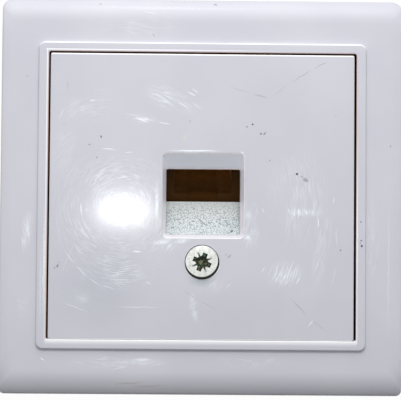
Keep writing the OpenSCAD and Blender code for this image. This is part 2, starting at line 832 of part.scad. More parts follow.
module carrier() {
    color("dimgray")
    difference() {
        union() {
            for (side = [-1, 1]) translate([aperture_x, 0, 0]) {
                translate([side * (cheek_x + cheek_t / 2), 0, 0]) sideways(cheek_t) cheek_outline();
                translate([side * (cheek_x + (cheek_t + pad_w) / 2), 0, carrier_screw_z])
                    upright(raised_back_y, pad_t) square([cheek_t + pad_w, pad_h], center = true);
            }
            at_jack() jack_block(2 * cheek_x + cheek_t, [bar_start, bar_bottom], [bar_end, bar_top]);
        }
        at_jack() {
            jack_block(board_w + 2 * fit, [board_start - fit, board_bottom - fit],
                [bar_start, board_top + fit]);
            clamp_screw_positions() translate([0, 0, bar_bottom - cut])
                cylinder(bar_h + 2 * cut, r = clamp_shank_dia / 2 + thread_fit);
        }
        carrier_screw_positions() upright(raised_back_y - cut, pad_t + 2 * cut)
            circle(carrier_shank_dia / 2 + thread_fit);
    }
}

module carrier_screws() {
    color("silver") carrier_screw_positions() translate([0, raised_y, 0]) rotate([90, 0, 0])
        pan_screw(carrier_shank_dia, sheet_t + pad_t + carrier_tip_l,
            carrier_head_dia, carrier_head_h, small_head_slot);
}

module clamp_screw_positions() {
    for (side = [-1, 1])
        translate([side * clamp_screw_spacing / 2, (bar_start + bar_end) / 2, 0]) children();
}

module cable_clamp() {
    color("ivory") at_jack() difference() {
        jack_block(clamp_w, [bar_start, bar_top], [bar_end, bar_top + clamp_h]);
        translate([0, bar_start - cut, bar_top]) rotate([-90, 0, 0]) cylinder(bar_l + 2 * cut, r = cable_r);
        clamp_screw_positions() translate([0, 0, bar_top - cut])
            cylinder(clamp_h + 2 * cut, r = clamp_shank_dia / 2 + fit);
    }
}

module clamp_screws() {
    color("silver") at_jack() clamp_screw_positions() translate([0, 0, bar_top + clamp_h])
        pan_screw(clamp_shank_dia, clamp_h + bar_h - clamp_tip_gap,
            clamp_head_dia, clamp_head_h, small_head_slot);
}

surface_box();
box_screws();
mounting_plate();
cover_frame();
centre_plate();
plate_screw();
jack_housing();
contact_holder();
contact(1);  // contact_1
contact(2);  // contact_2
contact(3);  // contact_3
contact(4);  // contact_4
contact(5);  // contact_5
contact(6);  // contact_6
contact(7);  // contact_7
contact(8);  // contact_8
circuit_board();
terminal_block_left();
terminal_block_right();
terminal(1);  // terminal_1
terminal(2);  // terminal_2
terminal(3);  // terminal_3
terminal(4);  // terminal_4
terminal(5);  // terminal_5
terminal(6);  // terminal_6
terminal(7);  // terminal_7
terminal(8);  // terminal_8
carrier();
carrier_screws();
cable_clamp();
clamp_screws();
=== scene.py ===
"""Looks of the one-gang surface data socket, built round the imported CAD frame."""

import json
import math

import bmesh
import bpy
from mathutils import Matrix, Vector


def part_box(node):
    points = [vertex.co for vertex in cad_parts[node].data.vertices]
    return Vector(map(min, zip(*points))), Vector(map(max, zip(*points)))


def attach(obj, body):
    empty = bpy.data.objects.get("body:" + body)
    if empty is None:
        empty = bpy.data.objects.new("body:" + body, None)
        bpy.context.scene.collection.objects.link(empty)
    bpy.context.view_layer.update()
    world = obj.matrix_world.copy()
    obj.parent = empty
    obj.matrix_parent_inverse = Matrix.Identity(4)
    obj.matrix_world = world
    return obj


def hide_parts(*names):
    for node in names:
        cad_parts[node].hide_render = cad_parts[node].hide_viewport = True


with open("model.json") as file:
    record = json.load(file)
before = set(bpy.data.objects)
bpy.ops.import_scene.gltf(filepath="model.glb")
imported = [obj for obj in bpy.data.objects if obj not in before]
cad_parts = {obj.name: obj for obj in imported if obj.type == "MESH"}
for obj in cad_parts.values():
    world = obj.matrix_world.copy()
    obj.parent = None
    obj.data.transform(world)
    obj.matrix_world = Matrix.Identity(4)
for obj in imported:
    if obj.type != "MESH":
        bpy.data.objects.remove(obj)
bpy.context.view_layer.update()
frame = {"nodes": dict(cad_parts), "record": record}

MM = 0.001

# Places that the CAD nodes give, in metres
FRAME_LOW, FRAME_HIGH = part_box("cover_frame")
PLATE_LOW, PLATE_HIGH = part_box("centre_plate")
SCREW_LOW, SCREW_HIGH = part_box("plate_screw")
FRONT_Y, RIM_Y = FRAME_LOW.y, FRAME_HIGH.y
SCREW_Z = (SCREW_LOW.z + SCREW_HIGH.z) / 2
HEAD_TOP_Y = SCREW_LOW.y

# The screw's head, which the photograph shows a little further right and smaller than the solid has it
SCREW_X, HEAD_TRIM = 0.13 * MM, 0.1 * MM
HEAD_R = (SCREW_HIGH.x - SCREW_LOW.x) / 2 - HEAD_TRIM
DOME_R = 10.5 * MM
SCREW_DOME_Y = HEAD_TOP_Y + DOME_R

# The photograph's width in pixels, the scale at the object's front and the pixel of the front's middle
PHOTO_W = 401
PX = 0.2044 * MM
PLATE_CENTRE_PX = (202.2, 197.0)

# The camera's place and turn, fitted to the ledge, the opening and the screw in the photograph
CAMERA_X, CAMERA_Z = -5.4 * MM, -14.7 * MM
CAMERA_DISTANCE = 322.5 * MM
CAMERA_PITCH, CAMERA_YAW, CAMERA_ROLL = (math.radians(a) for a in (2.46, -0.91, 0.47))
FOCAL_PX = 1583.6
SENSOR_W = 36.0


def on_plate(px, py):
    """The point of the object's front that the photograph shows at this pixel."""
    return Vector(((px - PLATE_CENTRE_PX[0]) * PX, FRONT_Y, (PLATE_CENTRE_PX[1] - py) * PX))


# Node materials

WOBBLE, WOBBLE_SCALE = 0.5 * MM, 700.0
LEAST_SHIFT = 1e-9
SCRATCH_ANGLES, SCRATCH_LONG, SCRATCH_SCALE, SCRATCH_DEPTH = (12, 74, 131), 14.0, 3500.0, 0.002 * MM
TONE_SCALE, PATCH_SCALE, GRIME_SCALE, GRAIN_SCALE = 45.0, 240.0, 420.0, 2600.0
SPECK_CORE, STROKE_CORE = 0.5, 0.3


def colour(value):
    """A colour with its alpha, or the socket that gives one."""
    return value if isinstance(value, bpy.types.NodeSocket) else (*value, 1.0)


class Graph:
    """A material's node tree, with short calls for the nodes used here."""

    def __init__(self, name):
        self.material = bpy.data.materials.new(name)
        self.material.use_nodes = True
        self.tree = self.material.node_tree
        self.shader = self.tree.nodes["Principled BSDF"]
        where = self.add("ShaderNodeTexCoord")
        self.place = where.outputs["Object"]
        self.at = self.split(self.place)
        self.facing = self.split(where.outputs["Normal"])
        self.wavy = self.wobbled()

    def add(self, kind, **settings):
        node = self.tree.nodes.new(kind)
        for key, value in settings.items():
            setattr(node, key, value)
        return node

    def feed(self, socket, value):
        if isinstance(value, bpy.types.NodeSocket):
            self.tree.links.new(value, socket)
        else:
            socket.default_value = value

    def give(self, **values):
        """Feeds the shader's sockets, with an underscore for each blank in their names."""
        for name, value in values.items():
            self.feed(self.shader.inputs[name.replace("_", " ")], value)

    def so_far(self, name):
        """What one of the shader's sockets is linked to."""
        return self.shader.inputs[name].links[0].from_socket

    def paint(self, mask, tint):
        """Lays a colour over the base colour so far."""
        self.give(Base_Color=self.mix(mask, self.so_far("Base Color"), tint))

    # Numbers

    def math(self, operation, a, b=0.0):
        node = self.add("ShaderNodeMath", operation=operation)
        self.feed(node.inputs[0], a)
        self.feed(node.inputs[1], b)
        return node.outputs[0]

    def times(self, first, *others):
        for other in others:
            first = self.math("MULTIPLY", first, other)
        return first

    def ramp(self, value, low, high, to_low=0.0, to_high=1.0):
        node = self.add("ShaderNodeMapRange", interpolation_type="SMOOTHSTEP")
        self.feed(node.inputs["Value"], value)
        self.feed(node.inputs["From Min"], low)
        self.feed(node.inputs["From Max"], high)
        self.feed(node.inputs["To Min"], to_low)
        self.feed(node.inputs["To Max"], to_high)
        return node.outputs[0]

    def fade(self, value, low, high, to_low=0.0, to_high=1.0):
        """A ramp between two lengths in millimetres."""
        return self.ramp(value, low * MM, high * MM, to_low, to_high)

    def behind(self, low, high, to_low=0.0, to_high=1.0, shifted=None):
        """A ramp between two depths behind the front, in millimetres."""
        depth = self.at["Y"] if shifted is None else shifted
        return self.ramp(depth, FRONT_Y + low * MM, FRONT_Y + high * MM, to_low, to_high)

    def band(self, value, low, high, soft=0.08):
        """1 between two lengths in millimetres, with soft ends."""
        return self.times(self.fade(value, low, low + soft), self.fade(value, high - soft, high, 1.0, 0.0))

    # Vectors

    def vector(self, operation, a, b=None, c=None):
        """A vector operation's result: a number for LENGTH, or else a vector."""
        node = self.add("ShaderNodeVectorMath", operation=operation)
        for socket, value in zip(node.inputs, (a, b, c)):
            if value is not None:
                self.feed(socket, value)
        return node.outputs["Value" if operation == "LENGTH" else "Vector"]

    def split(self, vector):
        node = self.add("ShaderNodeSeparateXYZ")
        self.feed(node.inputs[0], vector)
        return node.outputs

    def join(self, *parts):
        node = self.add("ShaderNodeCombineXYZ")
        for socket, value in zip(node.inputs, parts):
            self.feed(socket, value)
        return node.outputs[0]

    def flat(self, vector):
        """The vector without its depth."""
        return self.vector("MULTIPLY", vector, (1, 0, 1))

    def stretched(self, scale, turn):
        node = self.add("ShaderNodeMapping", vector_type="TEXTURE")
        self.feed(node.inputs["Vector"], self.place)
        node.inputs["Rotation"].default_value = turn
        node.inputs["Scale"].default_value = scale
        return node.outputs[0]

    def wobbled(self):
        """The place, shifted a little by noise, so that the marks on it aren't perfect shapes."""
        node = self.add("ShaderNodeTexNoise")
        self.feed(node.inputs["Vector"], self.place)
        self.feed(node.inputs["Scale"], WOBBLE_SCALE)
        shift = self.vector("MULTIPLY_ADD", node.outputs["Color"], (WOBBLE, 0, WOBBLE), self.place)
        return self.vector("SUBTRACT", shift, (WOBBLE / 2, 0, WOBBLE / 2))

    # Textures, colours and bumps

    def noise(self, place, scale, detail=3.0, rough=0.5, distortion=0.0):
        node = self.add("ShaderNodeTexNoise")
        self.feed(node.inputs["Vector"], place)
        self.feed(node.inputs["Scale"], scale)
        self.feed(node.inputs["Detail"], detail)
        self.feed(node.inputs["Roughness"], rough)
        self.feed(node.inputs["Distortion"], distortion)
        return node.outputs["Fac"]

    def mix(self, mask, base, over):
        node = self.add("ShaderNodeMix", data_type="RGBA")
        self.feed(node.inputs["Factor"], mask)
        self.feed(node.inputs["A"], colour(base))
        self.feed(node.inputs["B"], colour(over))
        return node.outputs["Result"]

    def bump(self, height, distance, under=None):
        node = self.add("ShaderNodeBump")
        self.feed(node.inputs["Height"], height)
        self.feed(node.inputs["Distance"], distance)
        self.feed(node.inputs["Strength"], 1.0)
        if under is not None:
            self.feed(node.inputs["Normal"], under)
        return node.outputs[0]

    # Marks on the front

    def spot(self, x, y, half_w, half_h, turn=0.0):
        """0 at this pixel of the front and 1 on an ellipse round it, with its half sizes in pixels."""
        node = self.add("ShaderNodeMapping", vector_type="TEXTURE")
        self.feed(node.inputs["Vector"], self.wavy)
        node.inputs["Location"].default_value = on_plate(x, y)
        node.inputs["Rotation"].default_value = (0, math.radians(turn), 0)
        node.inputs["Scale"].default_value = (half_w * PX, 1.0, half_h * PX)
        return self.vector("LENGTH", node.outputs[0])

    def most(self, masks):
        """The largest mask. Each later one's place waits for it, so that the renderer holds few at once."""
        total = None
        for mask in masks:
            total = mask if total is None else self.math("MAXIMUM", total, mask)
            self.wavy = self.vector("MULTIPLY_ADD", total, (LEAST_SHIFT, 0, 0), self.wavy)
        return total

    def patches(self, rows, core=0.0):
        """Soft ellipses with a full core: x, y, half width, half height, turn in degrees and strength."""
        return self.most(self.ramp(self.spot(*row[:5]), core, 1.0, row[5], 0.0) for row in rows)

    def specks(self, rows):
        """Patches with a harder edge."""
        return self.patches(rows, SPECK_CORE)

    def strokes(self, rows):
        """Tapered lines: x and y of both ends, half width and strength."""
        def masks():
            for x1, y1, x2, y2, half_w, strength in rows:
                turn = math.degrees(math.atan2(y2 - y1, x2 - x1))
                half_long = math.hypot(x2 - x1, y2 - y1) / 2
                away = self.spot((x1 + x2) / 2, (y1 + y2) / 2, half_long, half_w, turn)
                yield self.ramp(away, STROKE_CORE, 1.0, strength, 0.0)
        return self.most(masks())


def scratches(graph):
    """A mask of fine straight scratches: stretched noise at several angles in the front plane."""
    total = None
    for angle in SCRATCH_ANGLES:
        place = graph.stretched((SCRATCH_LONG, 1, 1), (0, math.radians(angle), 0))
        lines = graph.ramp(graph.noise(place, SCRATCH_SCALE, 2.0), 0.66, 0.72)
        total = lines if total is None else graph.math("MAXIMUM", total, lines)
    return total


def plastic(name, tints, rough, dirt_amount, grain=0.01, spread=0.06):
    """Moulded plastic: slow changes of tone, faint grime, fine scratches and a grain of this height in mm."""
    base, shade, dirt = tints
    graph = Graph(name)
    body = graph.mix(graph.ramp(graph.noise(graph.place, TONE_SCALE, 4.0), 0.35, 0.65), base, shade)
    grime = graph.ramp(graph.noise(graph.place, GRIME_SCALE, 6.0, 0.7), 0.55, 0.85, 0.0, dirt_amount)
    patchy = graph.noise(graph.place, PATCH_SCALE, 3.0)
    grain_bump = graph.bump(graph.noise(graph.place, GRAIN_SCALE, 2.0), grain * MM)
    graph.give(
        Base_Color=graph.mix(grime, body, dirt),
        Roughness=graph.ramp(patchy, 0.2, 0.8, rough - spread, rough + spread),
        Normal=graph.bump(scratches(graph), -SCRATCH_DEPTH, grain_bump),
    )
    return graph


def metal(name, tints, rough, grain_scale, grain_height, metallic=1.0, spread=(0.3, 0.7)):
    """Plated or rolled metal: crystalline grain in tone, roughness and height, which is in mm."""
    base, shade = tints
    graph = Graph(name)
    grain = graph.noise(graph.place, grain_scale, 2.0, 0.6)
    graph.give(
        Metallic=metallic,
        Base_Color=graph.mix(graph.ramp(grain, *spread), shade, base),
        Roughness=graph.ramp(grain, 0.3, 0.7, rough + 0.08, rough - 0.06),
        Normal=graph.bump(grain, grain_height * MM),
    )
    return graph


# Wear, painted highlights, painted glints and painted shade on the front, by the photograph's pixels

# x, y, half width, half height, turn in degrees, strength
# Where the swirl arcs show: scratches with a painted glint round the flash's reflection
SWIRL_GLINT_PATCHES = (
    (118, 214, 84, 76, 0, 0.8), (112, 178, 30, 14, 0, 0.9), (86, 212, 14, 30, 0, 0.8),
    (145, 240, 30, 14, 20, 0.9), (95, 262, 40, 30, 20, 0.8), (120, 275, 45, 22, 0, 0.7),
    (170, 100, 34, 16, 25, 0.7), (90, 110, 40, 22, -20, 0.4), (140, 120, 24, 6, 10, 0.8),
    (306, 211, 30, 11, 0, 1.0), (284, 275, 24, 17, -20, 1.0), (300, 200, 40, 60, 0, 0.35),
    (322, 250, 10, 50, 10, 0.5), (195, 308, 7, 17, -10, 0.9), (250, 225, 16, 30, 0, 0.8),
    (168, 246, 24, 9, -10, 1.0), (212, 285, 20, 12, 0, 0.5), (65, 150, 16, 36, 15, 0.4),
    (80, 300, 40, 14, 15, 0.4),
)
# Painted highlights: the glow round the flash's reflection, glinting patches and bright lines on the
# aperture's edges
HIGHLIGHT_PATCHES = (
    (116, 212, 62, 44, 0, 0.28), (157.5, 206, 3, 32, 0, 1.0), (163, 243, 14, 4.5, -12, 1.0),
    (182, 242, 12, 4, -5, 0.8), (248, 238, 6, 5, 0, 1.0), (249, 216, 5, 8, 0, 0.6),
    (193.5, 300, 4, 8, 0, 0.5), (196, 315, 3.5, 11, -12, 0.5), (196, 152, 34, 1.6, 0, 0.8),
    (140, 225, 20, 8, 25, 0.5), (306, 213, 24, 5, 0, 0.4), (284, 276, 18, 10, -25, 0.3),
    (175, 238, 22, 7, -8, 0.3),
)
DARK_SPECKS = (
    (252, 125, 1.2, 1.2, 0, 1.0), (247, 127.5, 1.4, 1.0, -30, 0.5), (261, 134.5, 1.3, 1.0, -45, 0.8),
    (264.5, 134, 2.4, 0.8, -50, 0.7), (297, 174, 1.3, 1.5, 0, 1.0), (306, 180, 3.5, 2.2, 20, 0.4),
    (302, 177, 1.6, 1.2, 0, 0.3), (101.5, 139, 1.1, 1.9, 0, 0.7), (97, 159.5, 0.9, 0.9, 0, 0.6),
    (89.5, 147, 1.5, 1.0, -20, 0.4), (270, 161, 1.0, 1.3, 30, 0.4), (341, 250, 1.0, 1.0, 0, 0.6),
    (190, 122, 1.0, 1.0, 0, 0.3), (64, 126, 0.8, 0.8, 0, 0.3),
)
BROWN_SPOTS = (
    (59, 268, 3.0, 1.6, -55, 0.8), (56, 270, 1.8, 1.1, -30, 0.55), (61, 264, 1.4, 1.0, 0, 0.4),
    (230, 257, 3.6, 1.5, -35, 0.45), (227, 255, 2.0, 1.0, -60, 0.3), (67, 88, 2.2, 6, 5, 0.1),
    (336, 115, 1.0, 1.0, 0, 0.3),
)
CREAM_SPOTS = (
    (185, 139, 3.2, 5.0, 0, 0.35),
)
# Painted shadow below and round the screw's head, and painted shade darker towards the bottom of the plate
SCREW_SHADOW_AND_LOW_SHADE = (
    (203, 281, 17, 9, 0, 0.55), (202, 262, 21, 21, 0, 0.2), (100, 292, 75, 62, 0, 0.18),
    (235, 312, 110, 40, 0, 0.12),
)
# Where the swirl arcs show on the frame: scratches with a painted glint
FRAME_SWIRL_GLINTS = (
    (28, 234, 8, 26, 5, 0.7), (25, 305, 8, 20, 10, 0.4), (120, 363, 60, 8, 0, 0.6),
    (255, 362, 60, 8, 0, 0.3), (373, 240, 10, 60, 0, 0.35), (135, 28, 60, 12, 0, 0.3),
)
# Painted highlights on the frame: glossy streaks and bright lines along the ledge's edges
FRAME_HIGHLIGHTS = (
    (143, 360.5, 15, 2.2, 0, 1.0), (140, 363, 34, 5, 0, 0.4), (28, 232, 5, 22, 5, 0.4),
    (45.5, 265, 1.6, 70, 0, 0.9), (357.5, 245, 1.2, 55, 0, 0.9), (42.5, 290, 1.5, 50, 0, 0.35),
    (170, 8, 120, 2.5, 0, 0.25),
)
FRAME_SPECKS = (
    (361, 222, 0.9, 1.0, 0, 0.8), (361.5, 240.5, 1.0, 1.0, 0, 0.9), (362, 245.5, 1.3, 1.4, 0, 1.0),
    (360.5, 243, 0.7, 0.7, 0, 0.6), (27, 78, 0.9, 0.9, 0, 0.3), (215, 3.5, 2.4, 0.7, 10, 0.6),
    (99, 4, 1.6, 0.7, 30, 0.4),
)
FRAME_BROWN = (
    (391, 145, 1.5, 2.0, 0, 0.5), (377, 262, 1.0, 1.0, 0, 0.3), (57, 246, 1, 1, 0, 0.3),
)
STEEL_SPECKS = (
    (233, 231.5, 2.0, 1.2, -30, 0.9), (230, 233, 1.0, 0.8, 0, 0.6),
)
# x and y of both ends, half width, strength
# Pale scratches, and painted highlight lines along the aperture's front edges
SCRATCH_AND_HIGHLIGHT_STROKES = (
    (99, 150, 118, 152, 0.8, 0.7), (124, 154, 134, 154, 0.8, 0.6), (132, 253, 144, 253, 0.9, 0.9),
    (133, 119, 150, 124, 1.0, 0.9), (156, 123, 172, 126, 0.8, 0.6), (57, 123, 66, 108, 0.6, 0.4),
    (88, 103, 96, 102, 0.9, 0.7), (186, 92, 196, 98, 0.9, 0.7), (190, 88, 199, 95, 0.8, 0.5),
    (176, 102, 189, 110, 0.8, 0.7), (191, 103, 202, 111, 0.7, 0.5), (147, 95, 164, 97, 0.8, 0.5),
    (81, 203, 83, 220, 1.0, 0.8), (110, 307.8, 166, 308.6, 0.6, 0.5), (60, 302, 96, 316, 0.6, 0.5),
    (65, 252, 78, 268, 0.7, 0.6), (75, 265, 91, 281, 0.7, 0.65), (87, 278, 105, 289, 0.7, 0.6),
    (101, 286, 118, 291, 0.7, 0.5), (108, 280, 127, 291, 0.6, 0.45), (60, 282, 78, 239, 0.4, 0.35),
    (308, 327, 315, 319, 1.0, 0.5), (333, 205, 335, 196, 0.8, 0.4), (318, 216, 319, 229, 0.9, 0.7),
    (294, 209, 295, 218, 0.9, 0.8), (288, 207, 290, 216, 0.8, 0.6), (300, 210, 301, 217, 0.8, 0.8),
    (306, 209, 307, 216, 0.9, 0.9), (312, 208, 314, 217, 0.8, 0.7), (262, 208, 265, 214, 0.8, 0.5),
    (275, 283, 280, 275, 0.8, 0.7), (296, 285, 301, 276, 0.8, 0.6), (262, 274, 266, 267, 0.8, 0.5),
    (285, 288, 291, 277, 0.8, 0.5), (336, 225, 338, 250, 0.6, 0.3), (331, 290, 337, 265, 0.5, 0.3),
    (146, 282, 153, 286, 0.7, 0.5), (160, 212, 163, 236, 0.5, 0.4), (100, 190, 122, 176, 0.6, 0.5),
    (163, 152.3, 226, 151.7, 1.0, 1.0), (243.8, 154, 244.3, 237, 0.9, 0.8),
    (240, 152.6, 244, 154, 1.0, 0.9), (162.3, 158, 162.8, 236, 0.7, 0.4), (116, 180, 130, 178, 0.8, 0.7),
    (111, 176, 121, 170, 0.6, 0.5), (232, 283, 226, 290, 0.7, 0.4),
)
HAIRLINES = (
    (329, 60, 312, 69, 0.6, 0.5), (314, 68, 288, 84, 0.6, 0.45), (288, 84, 271, 98, 0.5, 0.3),
    (271, 99, 250, 94, 0.9, 0.35), (252, 95, 228, 87, 0.5, 0.25), (289, 296, 310, 318, 0.6, 0.4),
    (308, 316, 331, 334, 0.5, 0.25), (182, 290, 200, 301, 0.5, 0.35), (198, 300, 219, 311, 0.5, 0.25),
)
# Pale scratches on the frame, and a painted highlight line along its right-hand crease
FRAME_SCRATCH_AND_HIGHLIGHT_STROKES = (
    (42, 359, 48, 362, 0.9, 0.8), (112, 371, 132, 367, 0.6, 0.5), (96, 362, 112, 358, 0.6, 0.5),
    (28, 218, 31, 250, 0.6, 0.6), (23, 236, 25, 256, 0.5, 0.5), (389.4, 190, 389.4, 345, 0.8, 0.25),
    (151, 367, 170, 363, 0.5, 0.4), (233, 358, 262, 363, 0.5, 0.3), (140, 12, 158, 14, 0.6, 0.4),
)
FRAME_HAIRS = (
    (151, 33, 154, 38, 0.6, 0.6), (222, 45, 226, 40, 0.5, 0.4), (112, 385, 150, 383, 0.9, 0.35),
    (128, 388, 172, 386, 0.9, 0.3), (190, 337, 185, 345, 0.5, 0.3),
)
STEEL_SCRATCHES = (
    (195.5, 215, 209, 228, 0.5, 0.9), (191, 225.5, 197, 226, 0.5, 0.5),
)

PLATE_MARKS = (SWIRL_GLINT_PATCHES, HIGHLIGHT_PATCHES, SCRATCH_AND_HIGHLIGHT_STROKES, HAIRLINES, DARK_SPECKS, BROWN_SPOTS)
FRAME_MARKS = (FRAME_SWIRL_GLINTS, FRAME_HIGHLIGHTS, FRAME_SCRATCH_AND_HIGHLIGHT_STROKES, FRAME_HAIRS, FRAME_SPECKS, FRAME_BROWN)
PLATE_MARK_DEPTH, FRAME_MARK_DEPTH = 0.6 * MM, 4 * MM

SWIRL_CENTRE_PX = (122, 208)
SWIRL_FINE, SWIRL_TURNS, SWIRL_SPREAD = 4800.0, 2.0, 220.0
CLUSTER_SCALE, CLOUD_SCALE = 260.0, 1500.0
SCUFF_ROUGH = 0.04
# The pale colour of scuffs and scratches, which also paints the highlights and glints
SCUFF_AND_HIGHLIGHT_WHITE, HAIR_BROWN, SPECK_INK = (0.90, 0.96, 1.0), (0.30, 0.19, 0.10), (0.05, 0.02, 0.08)
# Stain colours, and the tint of the painted shadow and shade round the screw and low on the plate
SPOT_BROWN, SPOT_CREAM, PAINTED_SHADE_TINT = (0.20, 0.10, 0.04), (0.72, 0.70, 0.58), (0.28, 0.35, 0.40)


def swirl_glints(graph):
    """Thin arcs round one centre: fine scratches with a painted glint, as wiped plastic shows them round a
    lamp's reflection.
    """
    flat = graph.flat(graph.vector("SUBTRACT", graph.wavy, on_plate(*SWIRL_CENTRE_PX)))
    reach = graph.vector("LENGTH", flat)
    way = graph.split(graph.vector("NORMALIZE", flat))
    turns = graph.math("ADD", graph.times(reach, SWIRL_SPREAD), SWIRL_TURNS)
    unrolled = graph.join(graph.times(way["X"], turns), graph.times(reach, SWIRL_FINE),
                          graph.times(way["Z"], turns))
    glint_arcs = graph.ramp(graph.noise(unrolled, 1.0, 2.0, 0.6), 0.46, 0.62)
    return graph.times(glint_arcs, graph.ramp(graph.noise(graph.place, CLUSTER_SCALE, 2.0), 0.38, 0.6, 0.3, 1.0))


def wear_and_highlights(graph, marks, depth):
    """Lays these marks over the base colour, down to this depth behind the front: scuffs, hairs, stains and
    specks, and painted highlights and glints.
    """
    swirl_glint_rows, highlight_rows, scratch_and_highlight_rows, hair_rows, speck_rows, brown_rows = marks
    front = graph.math("LESS_THAN", graph.at["Y"], FRONT_Y + depth)
    cloud = graph.ramp(graph.noise(graph.place, CLOUD_SCALE, 4.0, 0.65), 0.3, 0.7, 0.35, 1.0)
    glint_arcs = graph.times(swirl_glints(graph), graph.patches(swirl_glint_rows))
    # Painted highlights, broken up by noise
    painted_glow = graph.times(cloud, graph.patches(highlight_rows))
    scuffs_and_highlights = graph.times(graph.most([glint_arcs, painted_glow, graph.strokes(scratch_and_highlight_rows)]), front)
    # Scuffs and scratches, and painted highlights and glints, in one pale colour
    graph.paint(scuffs_and_highlights, SCUFF_AND_HIGHLIGHT_WHITE)
    graph.paint(graph.times(graph.strokes(hair_rows), front), HAIR_BROWN)
    graph.paint(graph.times(graph.patches(brown_rows), front), SPOT_BROWN)
    graph.paint(graph.times(graph.specks(speck_rows), front), SPECK_INK)
    graph.give(Roughness=graph.math("ADD", graph.so_far("Roughness"), graph.times(scuffs_and_highlights, SCUFF_ROUGH)))


# Jack, sheet steel and zinc

JACK_TILT = math.radians(33)
JACK_MOUTH_Y, JACK_MOUTH_Z = -36.7 * MM, -0.3 * MM
# The face's brown, and the much paler browns painted inside the mouth as painted light, low and high
BROWN_FACE, MOUTH_LIGHT_LOW, MOUTH_LIGHT_HIGH = (0.058, 0.023, 0.0045), (0.17, 0.075, 0.02), (0.62, 0.32, 0.10)
BROWN_DIRT, BROWN_DIRT_SCALE = (0.03, 0.012, 0.003), 900.0
BROWN_GRAIN_H = 0.01 * MM

STEEL_TINTS = (0.98, 1.0, 1.0), (0.25, 0.35, 0.40)
# Painted shade for the ramp's foot, painted light for its top, and the dark of scratches and specks
STEEL_FOOT_SHADE, STEEL_TOP_LIGHT, STEEL_MARK = (0.42, 0.5, 0.53), (0.94, 1.0, 1.0), (0.12, 0.13, 0.12)

ZINC_TINTS, ZINC_SPECK = ((0.90, 0.91, 0.88), (0.70, 0.73, 0.70)), (0.50, 0.62, 0.46)
# Painted shade in the recess, and the colours of the painted glints in it
RECESS_SHADE, GLINT_GREEN, GLINT_BROWN = (0.03, 0.035, 0.025), (0.14, 0.30, 0.17), (0.25, 0.21, 0.13)
HEAD_REACH, RECESS_REACH = 4 * MM, 2.3 * MM
# The painted shadow round the head's rim leans to the lower right
RIM_LEAN_X, RIM_LEAN_Z, RIM_LEAN_SHARE = 0.25, 0.97, 0.1
ZINC_SPECK_SCALE, GLINT_SCALE, GLINT_HUE_SCALE = 2600.0, 1700.0, 1100.0

# Where a change of tint starts and ends, in millimetres: painted light in the jack's mouth and at the ramp's
# top, painted shade at the ramp's foot, in the screw's recess and round its rim
MOUTH_INSIDE, MOUTH_HEIGHT = (0.02, 3.0), (1.0, 6.5)
RAMP_FOOT, RAMP_TOP = (-8.0, -2.5), (-5.0, -0.5)
RECESS_DEEP, RIM_REACH = (0.10, 0.45), (3.23, 3.35)


def brown_jack():
    """Dark brown plastic with painted light inside the mouth: far paler there than on its face, and paler
    still higher up, against the shade in it.
    """
    graph = Graph("jack_plastic")
    along = graph.times(graph.math("SUBTRACT", graph.at["Y"], JACK_MOUTH_Y), math.cos(JACK_TILT))
    rise = graph.times(graph.math("SUBTRACT", graph.at["Z"], JACK_MOUTH_Z), math.sin(JACK_TILT))
    # Painted light: the mouth's inside is painted paler, more so higher up
    inside = graph.fade(graph.math("ADD", along, rise), *MOUTH_INSIDE)
    deep = graph.mix(graph.fade(graph.at["Z"], *MOUTH_HEIGHT), MOUTH_LIGHT_LOW, MOUTH_LIGHT_HIGH)
    dirty = graph.ramp(graph.noise(graph.place, BROWN_DIRT_SCALE, 4.0), 0.3, 0.7, 0.0, 0.18)
    graph.give(
        Base_Color=graph.mix(dirty, graph.mix(inside, BROWN_FACE, deep), BROWN_DIRT),
        Roughness=0.65,
        Specular_IOR_Level=0.1,
        Normal=graph.bump(graph.noise(graph.place, GRAIN_SCALE, 2.0), BROWN_GRAIN_H),
    )
    return graph.material


def sheet_steel():
    """Galvanised sheet with a bright crystalline grain, thin scratches and a speck on the ramp, with painted
    shade at its foot and painted light towards its top.
    """
    graph = metal("galvanised", STEEL_TINTS, 0.45, 3200.0, 0.05, 0.2, (0.37, 0.54))
    # Painted shade at the ramp's foot and painted light towards its top
    graph.paint(graph.fade(graph.at["Z"], *RAMP_FOOT, 0.42, 0.0), STEEL_FOOT_SHADE)
    graph.paint(graph.fade(graph.at["Z"], *RAMP_TOP, 0.0, 0.65), STEEL_TOP_LIGHT)
    graph.paint(graph.strokes(STEEL_SCRATCHES), STEEL_MARK)
    graph.paint(graph.specks(STEEL_SPECKS), STEEL_MARK)
    return graph.material


